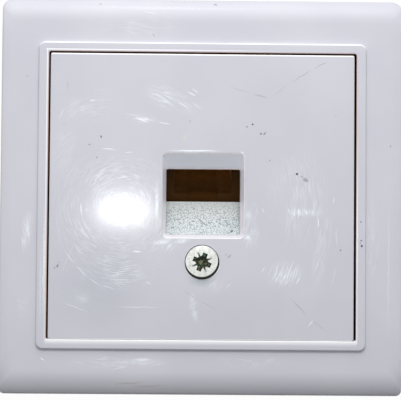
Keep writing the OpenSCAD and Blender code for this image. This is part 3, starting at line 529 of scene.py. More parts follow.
def zinc():
    """Bright zinc plating with greenish specks, with painted shadow round the lower rim and painted shade,
    with painted glints, in the recess.
    """
    graph = metal("zinc", ZINC_TINTS, 0.35, 1500.0, 0.006)
    specks = graph.noise(graph.place, ZINC_SPECK_SCALE, 3.0)
    graph.paint(graph.ramp(specks, 0.54, 0.66, 0.0, 0.45), ZINC_SPECK)
    offset = graph.vector("SUBTRACT", graph.place, (SCREW_X, SCREW_DOME_Y, SCREW_Z))
    side = graph.split(offset)
    deep = graph.fade(graph.math("SUBTRACT", DOME_R, graph.vector("LENGTH", offset)), *RECESS_DEEP)
    reach = graph.vector("LENGTH", graph.flat(offset))
    lean = graph.math("SUBTRACT", graph.times(side["X"], RIM_LEAN_X), graph.times(side["Z"], RIM_LEAN_Z))
    rim = graph.fade(graph.math("ADD", reach, graph.times(lean, RIM_LEAN_SHARE)), *RIM_REACH)
    within = graph.math("LESS_THAN", reach, RECESS_REACH)
    # Painted shade in the recess and painted shadow round the lower rim
    shadowed = graph.math("MAXIMUM", graph.times(deep, within),
                          graph.times(rim, graph.math("LESS_THAN", reach, HEAD_REACH)))
    # Painted glints in the recess
    glints = graph.ramp(graph.noise(graph.place, GLINT_SCALE, 3.0, 0.6, 1.0), 0.5, 0.62)
    glints = graph.times(glints, within)
    glint_hue = graph.ramp(graph.noise(graph.place, GLINT_HUE_SCALE), 0.45, 0.55)
    glint_hue = graph.mix(glint_hue, GLINT_GREEN, GLINT_BROWN)
    graph.paint(shadowed, graph.mix(glints, RECESS_SHADE, glint_hue))
    graph.give(
        Metallic=graph.ramp(shadowed, 0.0, 1.0, 1.0, 0.3),
        Specular_IOR_Level=graph.ramp(shadowed, 0.0, 1.0, 0.5, 0.1),
    )
    return graph.material


# The plate and the frame

GRIME = (0.36, 0.31, 0.27)
WHITE_TINTS = (0.60, 0.60, 0.66), (0.57, 0.57, 0.635), GRIME
# Painted light for the funnel's walls and its downward slope, and a painted highlight for its lip
FUNNEL_LIGHT, SLOPE_LIGHT, LIP_HIGHLIGHT = (0.97, 0.92, 0.98), (0.85, 0.89, 0.96), (0.98, 0.92, 0.92)
# The white of painted highlights, the dark of painted shade in gaps and the brown of painted shade on the
# frame's opening wall
PAINTED_HIGHLIGHT_WHITE, GAP_SHADE, GAP_SHADE_BROWN = (0.95, 0.95, 0.97), (0.02, 0.012, 0.01), (0.45, 0.22, 0.10)

# How far places on the front lie from its middle
PLATE_EDGE, FRAME_WALL, LEDGE_EDGE, LINE_REACH = 29.0 * MM, 31.6 * MM, 33.9 * MM, 32.02 * MM
OPENING_FLOOR, WIDER_BY = -29.2 * MM, 2.05 * MM

# The lip's ragged painted highlight, the broken painted highlight on the aperture's rim and the painted shade
# ring round the screw's head
LIP_RAGGED, LIP_SCALE, RIM_HIGHLIGHT_BREAK_SCALE = 0.5 * MM, 1800.0, 900.0
HEAD_RING, HEAD_RING_FADE = 0.09 * MM, 0.07 * MM

# Where a change of tint starts and ends, across the front or behind it, in millimetres: the painted
# highlights on the aperture's rim and lip, the painted light in its funnel and the painted shade down the
# gaps
APERTURE_TOP_RIM, APERTURE_SIDE_RIM, APERTURE_REACH = (8.3, 8.6), (8.2, 8.5), (54, 55)
FUNNEL_DEPTH, RIM_DEPTH, RIM_END, LIP_DEPTH = (0.1, 0.4), (0.01, 0.05), (0.2, 0.5), (3.25, 3.45)
PLATE_GAP_DEPTH, BROWN_DEPTH, FRAME_GAP_DEPTH = (0.14, 0.2), (0.02, 0.06), (0.22, 0.32)

# Both sides of the plate's painted highlight lines, in millimetres
PLATE_CREST, PLATE_FOOT = (28.72, 29.3), (-29.5, -29.1)
# The frame's painted highlight lines: both sides, the stretch along which each fades, and its strength before
# and after
TOP_LINE = (29.62, 29.98), (-8, 22), (0.8, 0.0)
LEFT_LINE = (-31.92, -31.62), (-25, 12), (0.3, 0.8)
RIGHT_LINE = (31.6, 31.9), (-5, 15), (0.7, 0.0)
# The painted highlight along the opening's lower edge
SILL_TOP, SILL_FADE, SILL_STRENGTH, SILL_SIDES = (-29.33, -29.25), (-30.6, -29.5), 0.72, (-31.8, 31.8)
SILL_SOFT, LINE_DEPTH = 0.3, 0.5 * MM


def paint_upward_highlight(graph, within=1.0):
    """Painted highlight: surfaces that face up are painted white, as the light from above falls on them."""
    graph.paint(graph.times(graph.ramp(graph.facing["Z"], 0.2, 0.6), within), PAINTED_HIGHLIGHT_WHITE)


def paint_gap_shade(graph, mask):
    """Painted shade down the gap: dark and without gloss."""
    graph.paint(mask, GAP_SHADE)
    graph.give(Specular_IOR_Level=graph.ramp(mask, 0.0, 1.0, 0.5, 0.0))


def plate_plastic():
    """The centre plate's gloss: worn on the face, with painted highlights, glints and shadow on it, painted
    light in the aperture and painted shade down the gap round it.
    """
    graph = plastic("plate_plastic", WHITE_TINTS, 0.09, 0.02, 0.002, 0.01)
    wear_and_highlights(graph, PLATE_MARKS, PLATE_MARK_DEPTH)
    graph.paint(graph.patches(CREAM_SPOTS), SPOT_CREAM)
    # Painted shadow round the screw and painted shade low on the plate
    graph.paint(graph.patches(SCREW_SHADOW_AND_LOW_SHADE), PAINTED_SHADE_TINT)
    paint_upward_highlight(graph)
    # Painted highlight lines along the plate's top and bottom edges
    crest_highlight = graph.math("MAXIMUM", graph.band(graph.at["Z"], *PLATE_CREST),
                       graph.band(graph.at["Z"], *PLATE_FOOT))
    graph.paint(crest_highlight, PAINTED_HIGHLIGHT_WHITE)

    # Painted light on the funnel's walls and slope, with a ragged painted highlight at the lip
    slope = graph.ramp(graph.times(graph.facing["Z"], -1.0), 0.2, 0.5)
    ragged = graph.times(graph.noise(graph.place, LIP_SCALE, 3.0), LIP_RAGGED)
    lip = graph.behind(*LIP_DEPTH, shifted=graph.math("ADD", graph.at["Y"], ragged))
    funnel = graph.mix(graph.times(lip, slope), graph.mix(slope, FUNNEL_LIGHT, SLOPE_LIGHT), LIP_HIGHLIGHT)
    middle = graph.fade(graph.vector("LENGTH", graph.place), *APERTURE_REACH, 1.0, 0.0)
    graph.paint(graph.times(graph.behind(*FUNNEL_DEPTH), middle), funnel)
    # Painted highlight along the aperture's front edge, broken up by noise
    rim = graph.times(graph.behind(*RIM_DEPTH), graph.behind(*RIM_END, 1.0, 0.0))
    bright = graph.math("MAXIMUM", graph.fade(graph.at["Z"], *APERTURE_TOP_RIM),
                        graph.fade(graph.at["X"], *APERTURE_SIDE_RIM))
    rim_highlight_break = graph.ramp(graph.noise(graph.place, RIM_HIGHLIGHT_BREAK_SCALE), 0.3, 0.6, 0.5, 1.0)
    graph.paint(graph.times(rim, bright, middle, rim_highlight_break), PAINTED_HIGHLIGHT_WHITE)

    # Painted shade ring round the screw's head
    ring = graph.vector("LENGTH", graph.flat(graph.vector("SUBTRACT", graph.place, (SCREW_X, 0, SCREW_Z))))
    ring_end = HEAD_R + HEAD_RING
    graph.paint(graph.ramp(ring, ring_end, ring_end + HEAD_RING_FADE, 1.0, 0.0), GAP_SHADE)
    # Painted shade down the gap round the plate's top and sides
    edge = graph.math("MAXIMUM", graph.math("ABSOLUTE", graph.at["X"]), graph.at["Z"])
    edge = graph.math("GREATER_THAN", edge, PLATE_EDGE)
    paint_gap_shade(graph, graph.times(edge, graph.behind(*PLATE_GAP_DEPTH)))
    return graph.material


def highlight_line(graph, across, along, line):
    """A thin straight mask that fades along itself."""
    sides, fading, strengths = line
    return graph.times(graph.band(across, *sides), graph.fade(along, *fading, *strengths))


def frame_plastic():
    """The cover frame's satin gloss, with its own marks and painted highlights, and painted shade on its
    opening wall.
    """
    graph = plastic("frame_plastic", WHITE_TINTS, 0.3, 0.005, 0.005, 0.02)
    wear_and_highlights(graph, FRAME_MARKS, FRAME_MARK_DEPTH)
    x, z = graph.at["X"], graph.at["Z"]
    square = graph.math("MAXIMUM", graph.math("ABSOLUTE", x),
                        graph.math("ADD", graph.math("ABSOLUTE", z), WIDER_BY))
    paint_upward_highlight(graph, graph.math("LESS_THAN", square, LEDGE_EDGE))

    # Painted highlight lines along the ledge's edges and the opening's lower edge
    lines = graph.most([highlight_line(graph, z, x, TOP_LINE), highlight_line(graph, x, z, LEFT_LINE),
                        highlight_line(graph, x, z, RIGHT_LINE)])
    lines = graph.times(lines, graph.math("LESS_THAN", square, LINE_REACH))
    sill_highlight = graph.times(graph.fade(z, *SILL_TOP, 1.0, 0.0), graph.fade(z, *SILL_FADE, 0.0, SILL_STRENGTH),
                       graph.band(x, *SILL_SIDES, SILL_SOFT))
    near = graph.math("LESS_THAN", graph.at["Y"], FRONT_Y + LINE_DEPTH)
    graph.paint(graph.times(graph.math("MAXIMUM", lines, sill_highlight), near), PAINTED_HIGHLIGHT_WHITE)

    # Painted shade on the frame's opening wall: brown near the front, dark deeper in
    above = graph.math("GREATER_THAN", z, OPENING_FLOOR)
    within = graph.times(graph.math("LESS_THAN", square, FRAME_WALL), above)
    graph.paint(graph.times(within, graph.behind(*BROWN_DEPTH, 0.0, 0.85)), GAP_SHADE_BROWN)
    paint_gap_shade(graph, graph.times(within, graph.behind(*FRAME_GAP_DEPTH)))
    return graph.material


BOX_TINTS = (0.64, 0.64, 0.67), (0.6, 0.6, 0.64), GRIME
BOARD_TINTS = (0.02, 0.13, 0.05), (0.03, 0.16, 0.06), (0.1, 0.1, 0.05)
IVORY_TINTS = (0.7, 0.67, 0.58), (0.66, 0.63, 0.54), GRIME
GREY_TINTS = (0.12, 0.12, 0.13), (0.1, 0.1, 0.11), GRIME
GOLD_TINTS = (0.85, 0.62, 0.25), (0.7, 0.5, 0.2)

materials = {
    "frame_white": frame_plastic(),
    "plate_white": plate_plastic(),
    "box_white": plastic("box_plastic", BOX_TINTS, 0.5, 0.1, 0.03).material,
    "screw_zinc": zinc(),
    "sheet_steel": sheet_steel(),
    "jack_brown": brown_jack(),
    "contact_gold": metal("gold", GOLD_TINTS, 0.25, 3000.0, 0.005).material,
    "board_green": plastic("board", BOARD_TINTS, 0.3, 0.1).material,
    "block_ivory": plastic("block_plastic", IVORY_TINTS, 0.4, 0.1).material,
    "carrier_grey": plastic("carrier_plastic", GREY_TINTS, 0.5, 0.1).material,
}

slot_of = {entry["node"]: entry["material_slot"] for entry in frame["record"]["subparts"]}


def dress_cad_nodes():
    """Gives each CAD node the material of its slot."""
    for name, node in frame["nodes"].items():
        for holder in node.material_slots:
            holder.material = materials[slot_of[name]]


# Pieces that stand for CAD nodes

WELD, FLAT_ANGLE = 0.001 * MM, math.radians(1)
BOX_EDGE, BOX_EDGE_STEPS = 0.3 * MM, 3
SHARP_EDGE_DEG, SMOOTH_DEG = 25, 30


def smooth(mesh, angle_deg):
    """Shades the faces smooth and keeps the edges above this angle sharp."""
    work = bmesh.new()
    work.from_mesh(mesh)
    for face in work.faces:
        face.smooth = True
    for edge in work.edges:
        edge.smooth = edge.is_manifold and edge.calc_face_angle(0.0) < math.radians(angle_deg)
    work.to_mesh(mesh)
    work.free()


def new_object(name, mesh, slot):
    piece = bpy.data.objects.new(name, mesh)
    bpy.context.scene.collection.objects.link(piece)
    mesh.materials.append(materials[slot])
    return piece


def stand_for(piece, node):
    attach(piece, "root")
    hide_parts(node)


def bevelled(node, name, width, segments):
    """A copy of a CAD node's solid with every sharp edge rounded."""
    mesh = frame["nodes"][node].data.copy()
    mesh.materials.clear()
    mesh.name = name
    work = bmesh.new()
    work.from_mesh(mesh)
    bmesh.ops.remove_doubles(work, verts=work.verts, dist=WELD)
    bmesh.ops.dissolve_limit(work, angle_limit=FLAT_ANGLE, verts=work.verts, edges=work.edges)
    work.to_mesh(mesh)
    work.free()
    piece = new_object(name, mesh, slot_of[node])
    bevel = piece.modifiers.new("edge", "BEVEL")
    bevel.width = width
    bevel.segments = segments
    bevel.limit_method = "ANGLE"
    bevel.angle_limit = math.radians(SHARP_EDGE_DEG)
    bevel.harden_normals = True
    smooth(piece.data, SMOOTH_DEG)
    apply_modifiers(piece)
    stand_for(piece, node)


def apply_modifiers(piece):
    graph = bpy.context.evaluated_depsgraph_get()
    graph.update()
    done = bpy.data.meshes.new_from_object(piece.evaluated_get(graph))
    piece.modifiers.clear()
    piece.data = done


# Skins: rings of points, joined by walls and caps

CORNER_STEPS, SIDE_STEPS, HOLE_SPOKES = 10, 24, 96


def rounded_loop(half, radius, centre=(0, 0), low_share=1.0):
    """Points of a rounded rectangle in X and Z, with this share of the radius at its lower corners."""
    middle = Vector(centre)
    points = []
    for k, (sx, sz) in enumerate(((1, 1), (-1, 1), (-1, -1), (1, -1))):
        r = radius if sz > 0 else radius * low_share
        corner = middle + Vector((sx * (half.x - r), sz * (half.y - r)))
        for step in range(CORNER_STEPS + 1):
            angle = math.radians(90) * (k + step / CORNER_STEPS)
            points.append(corner + r * Vector((math.cos(angle), math.sin(angle))))
    filled = []
    for k in range(4):
        corner = points[k * (CORNER_STEPS + 1):(k + 1) * (CORNER_STEPS + 1)]
        after = points[((k + 1) * (CORNER_STEPS + 1)) % len(points)]
        filled += corner
        filled += [corner[-1].lerp(after, step / SIDE_STEPS) for step in range(1, SIDE_STEPS)]
    return filled


def circle_loop(radius, centre, count=HOLE_SPOKES):
    middle = Vector(centre)
    turns = [2 * math.pi * k / count for k in range(count)]
    return [middle + radius * Vector((math.cos(t), math.sin(t))) for t in turns]


class Skin:
    """Builds a mesh from rings of points in X and Z, each at a depth along Y."""

    def __init__(self):
        self.work = bmesh.new()

    def ring(self, points, depth):
        """The depth is a number or a function of the point."""
        return [self.work.verts.new((p.x, depth(p) if callable(depth) else depth, p.y)) for p in points]

    def wall(self, near, far):
        count = len(near)
        for k in range(count):
            self.work.faces.new((near[k], near[(k + 1) % count], far[(k + 1) % count], far[k]))

    def walls(self, rings):
        for near, far in zip(rings, rings[1:]):
            self.wall(near, far)

    def cap(self, rings):
        """Fills the flat face between an outer ring and the rings inside it."""
        edges = [self.work.edges.get((ring[k - 1], ring[k])) for ring in rings for k in range(len(ring))]
        bmesh.ops.triangle_fill(self.work, use_beauty=True, edges=edges)

    def finish(self, name, node, sharp_deg=50):
        bmesh.ops.recalc_face_normals(self.work, faces=self.work.faces)
        mesh = bpy.data.meshes.new(name)
        self.work.to_mesh(mesh)
        self.work.free()
        smooth(mesh, sharp_deg)
        stand_for(new_object(name, mesh, slot_of[node]), node)


# Cover frame: rounded loops from the back, over the band and the ledge, to the seat

LEDGE_HALF = Vector((33.55 * MM, 31.33 * MM))
LEDGE_R, LEDGE_FOOT, FOOT_OUT, FOOT_ROOM = 1.5 * MM, 0.1 * MM, 0.03 * MM, 0.5 * MM
BROW_R, LEDGE_BROW = 1.4 * MM, 0.3 * MM
OPENING_HALF, OPENING_CENTRE = Vector((31.45 * MM, 29.35 * MM)), (0.05 * MM, 0)
OPENING_R, OPENING_EDGE, OPENING_MARGIN, OPENING_GROUP = 0.4 * MM, 0.25 * MM, 0.2 * MM, 0.6 * MM
SEAT_W, SEAT_R, SEAT_DEPTH, SEAT_BACK = 2.2 * MM, 1 * MM, 2.2 * MM, 4.0 * MM
SEAT_HALF = OPENING_HALF - Vector((SEAT_W, SEAT_W))
OUTER_TRIM = 0.002 * MM
OUTER_HALF = Vector((FRAME_HIGH.x, FRAME_HIGH.z)) - Vector((OUTER_TRIM, OUTER_TRIM))
OUTER_R, OUTER_EDGE, RIM_H = 2.2 * MM, 0.45 * MM, 2 * MM
BAND_R, BAND_LOOPS = 1.9 * MM, 21
EDGE_STEPS, FOOT_STEPS = 6, 3
WALL_T, BAND_T, BAND_BACK = 2 * MM, 2 * MM, 2.4 * MM
LEDGE_RISE = 0.78 * MM
BAND_Y = FRONT_Y + LEDGE_RISE
SUPPORT_RING = 0.05 * MM
ROLL_R, ROLL_W = 6.9 * MM, 4.9 * MM
SIDE_ROLL_W, SIDE_ROLL_DROP = 2.4 * MM, 0.3 * MM
LOW_CORNER_SHARE, BAND_START = 0.5, 1 * MM


def band_drop(point):
    """How far the band lies behind its middle: a long roll at top and bottom, a slight one at the sides."""
    past = max(0.0, abs(point.y) - (OUTER_HALF.y - ROLL_W))
    side = max(0.0, abs(point.x) - (OUTER_HALF.x - SIDE_ROLL_W)) / SIDE_ROLL_W
    return ROLL_R - math.sqrt(ROLL_R ** 2 - past ** 2) + SIDE_ROLL_DROP * side ** 2


def arc_steps(count):
    """Sine and one minus cosine along a quarter turn."""
    turns = [math.radians(90) * k / count for k in range(count + 1)]
    return [(math.sin(t), 1 - math.cos(t)) for t in turns]


def frame_loops():
    """Each loop is its half size, its corner radius and its Y, a number or a function of the point."""
    def grow(half, by):
        return half + Vector((by, by))

    def on_band(drop):
        return lambda point: BAND_Y + band_drop(point) + drop

    loops = [(OUTER_HALF, OUTER_R, RIM_Y), (OUTER_HALF, OUTER_R, RIM_Y - RIM_H)]
    for sine, lag in arc_steps(EDGE_STEPS):
        loops.append((grow(OUTER_HALF, -OUTER_EDGE * lag), OUTER_R - OUTER_EDGE * lag,
                      on_band(OUTER_EDGE * (1 - sine))))
    start, stop = grow(OUTER_HALF, -OUTER_EDGE), grow(LEDGE_HALF, FOOT_ROOM)
    start_r = OUTER_R - OUTER_EDGE
    for k in range(1, BAND_LOOPS + 1):
        share = k / BAND_LOOPS
        loops.append((start.lerp(stop, share), start_r + (BAND_R - start_r) * share, on_band(0)))
    for sine, lag in arc_steps(FOOT_STEPS):
        loops.append((grow(LEDGE_HALF, LEDGE_FOOT * (1 - sine) + FOOT_OUT), LEDGE_R,
                      BAND_Y - LEDGE_FOOT * lag))
    for sine, lag in arc_steps(EDGE_STEPS):
        loops.append((grow(LEDGE_HALF, -LEDGE_BROW * lag), BROW_R - LEDGE_BROW * lag,
                      FRONT_Y + LEDGE_BROW * (1 - sine)))
    loops.append((grow(OPENING_HALF, OPENING_EDGE + OPENING_MARGIN), 2 * OPENING_R, FRONT_Y))
    for sine, lag in arc_steps(EDGE_STEPS):
        loops.append((grow(OPENING_HALF, OPENING_EDGE * (1 - sine)), OPENING_R + OPENING_EDGE * (1 - sine),
                      FRONT_Y + OPENING_EDGE * lag))
    seat_y, back_y = FRONT_Y + SEAT_DEPTH, FRONT_Y + SEAT_BACK
    behind_opening, behind_band = grow(OPENING_HALF, WALL_T), grow(OUTER_HALF, -WALL_T)
    loops += [
        (OPENING_HALF, OPENING_R, seat_y - SUPPORT_RING), (OPENING_HALF, OPENING_R, seat_y),
        (SEAT_HALF, SEAT_R, seat_y), (SEAT_HALF, SEAT_R, back_y),
        (behind_opening, SEAT_R, back_y), (behind_opening, SEAT_R, BAND_Y + BAND_T),
        (behind_band, SEAT_R, BAND_Y + BAND_BACK), (behind_band, SEAT_R, RIM_Y),
    ]
    return loops


def make_cover_frame():
    """The loops joined into one closed skin. Its lower corners are tighter outside than its upper ones."""
    skin = Skin()
    rings = []
    for half, radius, depth in frame_loops():
        centre = OPENING_CENTRE if half.x < OPENING_HALF.x + OPENING_GROUP else (0, 0)
        past = max(0.0, (half.x - LEDGE_HALF.x - BAND_START) / (OUTER_HALF.x - LEDGE_HALF.x - BAND_START))
        low_share = 1 - (1 - LOW_CORNER_SHARE) * past
        rings.append(skin.ring(rounded_loop(half, radius, centre, low_share), depth))
    skin.walls(rings + rings[:1])
    skin.finish("moulded_cover_frame", "cover_frame")


# Centre plate: a flat face with rounded edges, the funnel of the aperture and the screw's countersink

PLATE_T, PLATE_EDGE_R, PLATE_CORNER_R, PLATE_EDGE_STEPS = 2.2 * MM, 0.15 * MM, 0.4 * MM, 4
APERTURE_X, APERTURE_HALF_W = 0.3 * MM, 8.35 * MM
APERTURE_TOP, APERTURE_BOTTOM = 8.8 * MM, -8.6 * MM
APERTURE_SLOPE, APERTURE_LEAN, COLLAR_D, COLLAR_WALL = 3.25 * MM, 0.8 * MM, 3.5 * MM, 1.6 * MM
APERTURE_EDGE_R, APERTURE_CORNER_R, COLLAR_CORNER_R, COLLAR_LIP = 0.18 * MM, 1.0 * MM, 0.35 * MM, 0.08 * MM
APERTURE_EDGE_STEPS, FUNNEL_SHARES = 6, (0.12, 0.2, 0.4, 0.6, 0.8, 0.97)
SUPPORT = 0.35 * MM
HEAD_SINK, SHANK_HOLE_R, HEAD_ROOM = 0.25 * MM, 1.9 * MM, 0.06 * MM
PLATE_REST_GAP = 0.03 * MM


def aperture_ring(skin, depth, grow=0.0, radius=APERTURE_CORNER_R):
    """The funnel's outline at this depth behind the face, grown by this much all round."""
    share = min(depth / COLLAR_D, 1.0)
    side = APERTURE_HALF_W - APERTURE_LEAN * share + grow
    top = APERTURE_TOP - APERTURE_SLOPE * share + grow
    bottom = APERTURE_BOTTOM + APERTURE_LEAN * share - grow
    half, centre = Vector((side, (top - bottom) / 2)), (APERTURE_X, (top + bottom) / 2)
    return skin.ring(rounded_loop(half, radius, centre), FRONT_Y + depth)


def make_centre_plate():
    skin = Skin()
    bottom = -OPENING_HALF.y + PLATE_REST_GAP
    half = Vector((PLATE_HIGH.x - PLATE_LOW.x, PLATE_HIGH.z - bottom)) / 2
    centre = (0, (PLATE_HIGH.z + bottom) / 2)
    back_y = FRONT_Y + PLATE_T

    def outer(inset, depth, radius):
        return skin.ring(rounded_loop(half - Vector((inset, inset)), radius, centre), depth)

    outside = [outer(PLATE_EDGE_R + SUPPORT, FRONT_Y, PLATE_CORNER_R)]
    for sine, lag in arc_steps(PLATE_EDGE_STEPS):
        outside.append(outer(PLATE_EDGE_R * (1 - sine), FRONT_Y + PLATE_EDGE_R * lag, PLATE_CORNER_R))
    outside.append(outer(0, back_y, PLATE_CORNER_R))

    funnel = [aperture_ring(skin, 0, APERTURE_EDGE_R + SUPPORT, APERTURE_CORNER_R + SUPPORT)]
    for k in range(APERTURE_EDGE_STEPS + 1):
        share = k / APERTURE_EDGE_STEPS
        funnel.append(aperture_ring(skin, APERTURE_EDGE_R * share ** 2, APERTURE_EDGE_R * (1 - share) ** 2))
    for share in FUNNEL_SHARES:
        radius = APERTURE_CORNER_R + (COLLAR_CORNER_R - APERTURE_CORNER_R) * share
        funnel.append(aperture_ring(skin, COLLAR_D * share, 0, radius))
    funnel.append(aperture_ring(skin, COLLAR_D, COLLAR_LIP, COLLAR_CORNER_R))
    funnel.append(aperture_ring(skin, COLLAR_D, COLLAR_WALL, COLLAR_CORNER_R))
    funnel.append(skin.ring([Vector((v.co.x, v.co.z)) for v in funnel[-1]], back_y))

    screw_place = (SCREW_X, SCREW_Z)
    seat_r, round_r, bend = HEAD_R + HEAD_ROOM, 0.08 * MM, 0.02 * MM
    steps = [(seat_r + SUPPORT, 0), (seat_r + round_r, 0), (seat_r + bend, bend), (seat_r, round_r),
             (seat_r, HEAD_SINK), (SHANK_HOLE_R, HEAD_SINK + HEAD_R - SHANK_HOLE_R), (SHANK_HOLE_R, PLATE_T)]
    hole = [skin.ring(circle_loop(radius, screw_place), FRONT_Y + depth) for radius, depth in steps]

    for rings in (outside, funnel, hole):
        skin.walls(rings)
    skin.cap([outside[0], funnel[0], hole[0]])
    skin.cap([outside[-1], funnel[-1], hole[-1]])
    skin.finish("moulded_centre_plate", "centre_plate", sharp_deg=60)


# Plate screw: a shallow dome with a worn rim and a cross recess with four thin ribs

HEAD_RIM_R, HEAD_TOP_GAP, SHANK_R, TIP_H = 0.25 * MM, 0.02 * MM, 1.75 * MM, 0.8 * MM
WING_TURN = math.radians(68)
WING_REACH, WING_HALF_W, WING_DEPTH = 1.92 * MM, 0.5 * MM, 1.5 * MM
RIB_REACH, RIB_HALF_W, RIB_DEPTH = 2.15 * MM, 0.16 * MM, 0.5 * MM
PIT_R, PIT_DEPTH = 1.3 * MM, 1.2 * MM
RECESS_SLOPE, RIB_START, FLOOR_RISE, RECESS_MARGIN = 0.14 * MM, 0.5, 0.55, 1.06
HEAD_SPOKES, RECESS_RINGS, DOME_RINGS, RIM_STEPS = 384, 72, 14, 5


def recess_depth(x, z):
    """Depth of the recess below the dome: four wings with tapered walls, and thin ribs between them."""
    reach = math.hypot(x, z)
    depth = 0.0
    for k in range(4):
        for lag, length, half_w, deep, start in ((0, WING_REACH, WING_HALF_W, WING_DEPTH, 0.0),
                                                 (math.pi / 4, RIB_REACH, RIB_HALF_W, RIB_DEPTH, RIB_START)):
            turn = WING_TURN + k * math.pi / 2 + lag
            along = x * math.cos(turn) + z * math.sin(turn)
            across = abs(z * math.cos(turn) - x * math.sin(turn))
            inside = min(half_w - across, length - along, along + half_w)
            rise = min(1.0, max(0.0, inside / RECESS_SLOPE + start))
            floor = deep * (1 - FLOOR_RISE * min(1.0, reach / length) ** 2)
            depth = max(depth, floor * rise * (inside > 0))
    return max(depth, PIT_DEPTH * (1 - (reach / PIT_R) ** 2))


def make_plate_screw():
    skin = Skin()
    flat_r = HEAD_R - HEAD_RIM_R
    recess_rings = [RIB_REACH * RECESS_MARGIN * (k / RECESS_RINGS) for k in range(1, RECESS_RINGS + 1)]
    start_r = recess_rings[-1]
    dome_rings = [start_r + (flat_r - start_r) * k / DOME_RINGS for k in range(1, DOME_RINGS + 1)]

    def dome_y(point):
        x, z = point.x - SCREW_X, point.y - SCREW_Z
        dome = DOME_R - math.sqrt(DOME_R ** 2 - x * x - z * z)
        return HEAD_TOP_Y + HEAD_TOP_GAP + dome + recess_depth(x, z)

    def circle(radius, depth):
        return skin.ring(circle_loop(radius, (SCREW_X, SCREW_Z), HEAD_SPOKES), depth)

    rings = [circle(radius, dome_y) for radius in recess_rings + dome_rings]
    rim_y = dome_y(Vector((SCREW_X + flat_r, SCREW_Z)))
    for sine, lag in arc_steps(RIM_STEPS)[1:]:
        rings.append(circle(flat_r + HEAD_RIM_R * sine, rim_y + HEAD_RIM_R * lag))
    seat_y = FRONT_Y + HEAD_SINK
    rings += [circle(HEAD_R, seat_y), circle(SHANK_R, seat_y + HEAD_R - SHANK_R),
              circle(SHANK_R, SCREW_HIGH.y - TIP_H), circle(SHANK_R - TIP_H, SCREW_HIGH.y)]
    skin.walls(rings)
    for ring in (rings[0], rings[-1]):
        skin.work.faces.new(ring)
    skin.finish("pozidriv_screw", "plate_screw", sharp_deg=40)


# Stage, camera and lamps

WHITE_BACKGROUND = (1, 1, 1, 1)
FLOOR_Z, FLOOR_HALF, FLOOR_GLOW = FRAME_LOW.z, 3.0, 0.97
FLOOR_GREY, FLOOR_ROUGH = (0.2, 0.2, 0.2, 1), 0.8
CLIP_NEAR, CLIP_FAR = 0.01, 20
AMBIENT = 0.7
KEY_TILT = math.radians(60)
KEY_DISTANCE, KEY_SIZE, KEY_POWER = 0.35, 0.25, 0.3
FILL_DISTANCE, FILL_HEIGHT, FILL_SIZE, FILL_POWER = 0.22, 0.14, 0.1, 0.33
FLASH_SPOT_PX = (124, 212)
FLASH_W, FLASH_H, FLASH_POWER = 0.0162, 0.0046, 0.016


def background_fac(graph):
    """1 for rays that look at the background, straight or through a reflection."""
    rays = graph.nodes.new("ShaderNodeLightPath")
    total = rays.outputs["Is Camera Ray"]
    for kind in ("Is Glossy Ray", "Is Transmission Ray"):
        most = graph.nodes.new("ShaderNodeMath")
        most.operation = "MAXIMUM"
        graph.links.new(total, most.inputs[0])
        graph.links.new(rays.outputs[kind], most.inputs[1])
        total = most.outputs[0]
    return total


def make_world():
    """Soft light from all round, behind a white background."""
    world = bpy.data.worlds.new("studio")
    world.use_nodes = True
    bpy.context.scene.world = world
    tree = world.node_tree
    light = tree.nodes["Background"]
    light.inputs["Color"].default_value = WHITE_BACKGROUND
    light.inputs["Strength"].default_value = AMBIENT
    seen = tree.nodes.new("ShaderNodeBackground")
    seen.inputs["Color"].default_value = WHITE_BACKGROUND
    seen.inputs["Strength"].default_value = 1.0
    choose = tree.nodes.new("ShaderNodeMixShader")
    tree.links.new(background_fac(tree), choose.inputs["Fac"])
    tree.links.new(light.outputs[0], choose.inputs[1])
    tree.links.new(seen.outputs[0], choose.inputs[2])
    tree.links.new(choose.outputs[0], tree.nodes["World Output"].inputs["Surface"])


def make_floor():
    """A pale floor that shows white to the camera, apart from the object's shadow."""
    mesh = bpy.data.meshes.new("floor")
    corners = [(x * FLOOR_HALF, y * FLOOR_HALF, FLOOR_Z) for x, y in ((-1, -1), (1, -1), (1, 1), (-1, 1))]
    mesh.from_pydata(corners, [], [(0, 1, 2, 3)])
    floor = bpy.data.objects.new("floor", mesh)
    bpy.context.scene.collection.objects.link(floor)
    material = bpy.data.materials.new("pale_floor")
    material.use_nodes = True
    tree = material.node_tree
    body = tree.nodes["Principled BSDF"]
    body.inputs["Base Color"].default_value = FLOOR_GREY
    body.inputs["Roughness"].default_value = FLOOR_ROUGH
    glow = tree.nodes.new("ShaderNodeEmission")
    glow.inputs["Color"].default_value = WHITE_BACKGROUND
    glow.inputs["Strength"].default_value = 1.0
    share = tree.nodes.new("ShaderNodeMath")
    share.operation = "MULTIPLY"
    share.inputs[1].default_value = FLOOR_GLOW
    choose = tree.nodes.new("ShaderNodeMixShader")
    tree.links.new(background_fac(tree), share.inputs[0])
    tree.links.new(share.outputs[0], choose.inputs["Fac"])
    tree.links.new(body.outputs[0], choose.inputs[1])
    tree.links.new(glow.outputs[0], choose.inputs[2])
    tree.links.new(choose.outputs[0], tree.nodes["Material Output"].inputs["Surface"])
    mesh.materials.append(material)


def camera_place():
    return Vector((CAMERA_X, FRONT_Y - CAMERA_DISTANCE, CAMERA_Z))


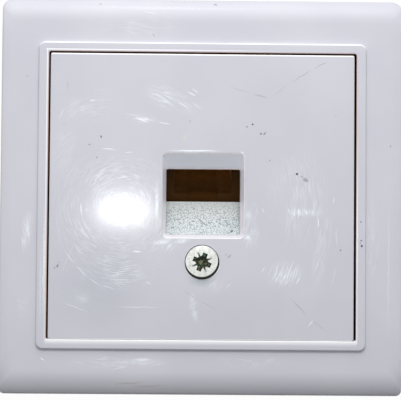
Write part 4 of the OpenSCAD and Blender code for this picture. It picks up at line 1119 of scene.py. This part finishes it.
def make_camera():
    data = bpy.data.cameras.new("camera")
    data.sensor_width = SENSOR_W
    data.lens = FOCAL_PX / PHOTO_W * SENSOR_W
    data.clip_start, data.clip_end = CLIP_NEAR, CLIP_FAR
    camera = bpy.data.objects.new("camera", data)
    bpy.context.scene.collection.objects.link(camera)
    bpy.context.scene.camera = camera
    ahead = Vector((-math.sin(CAMERA_YAW) * math.cos(CAMERA_PITCH),
                    math.cos(CAMERA_YAW) * math.cos(CAMERA_PITCH), math.sin(CAMERA_PITCH)))
    right = Vector((math.cos(CAMERA_YAW), math.sin(CAMERA_YAW), 0))
    up = right.cross(ahead)
    turned_right = math.cos(CAMERA_ROLL) * right + math.sin(CAMERA_ROLL) * up
    turned_up = -math.sin(CAMERA_ROLL) * right + math.cos(CAMERA_ROLL) * up
    turn = Matrix((turned_right, turned_up, -ahead)).transposed().to_4x4()
    camera.matrix_world = Matrix.Translation(camera_place()) @ turn


def area_light(name, place, target, size, power, height=None):
    data = bpy.data.lights.new(name, "AREA")
    data.shape = "RECTANGLE" if height else "DISK"
    data.size = size
    data.size_y = height or size
    data.energy = power
    lamp = bpy.data.objects.new(name, data)
    bpy.context.scene.collection.objects.link(lamp)
    lamp.location = place
    lamp.rotation_euler = (target - place).to_track_quat("-Z", "Y").to_euler()
    return lamp


def make_lights():
    """A soft key above, a fill without a reflection, and the flash that the plate mirrors."""
    middle = Vector((0, FRONT_Y, 0))
    key = middle + KEY_DISTANCE * Vector((0, -math.cos(KEY_TILT), math.sin(KEY_TILT)))
    area_light("key", key, middle, KEY_SIZE, KEY_POWER)
    above = Vector((0, FRONT_Y - FILL_DISTANCE, FILL_HEIGHT))
    fill = area_light("fill", above, middle, FILL_SIZE, FILL_POWER)
    fill.visible_glossy = False
    spot = on_plate(*FLASH_SPOT_PX)
    camera = camera_place()
    flash = Vector((2 * spot.x - camera.x, camera.y, 2 * spot.z - camera.z))
    area_light("flash", flash, spot, FLASH_W, FLASH_POWER, FLASH_H)


dress_cad_nodes()
make_cover_frame()
make_centre_plate()
make_plate_screw()
bevelled("surface_box", "moulded_surface_box", BOX_EDGE, BOX_EDGE_STEPS)

make_world()
make_floor()
make_camera()
make_lights()
bpy.context.scene.view_settings.view_transform = "Standard"
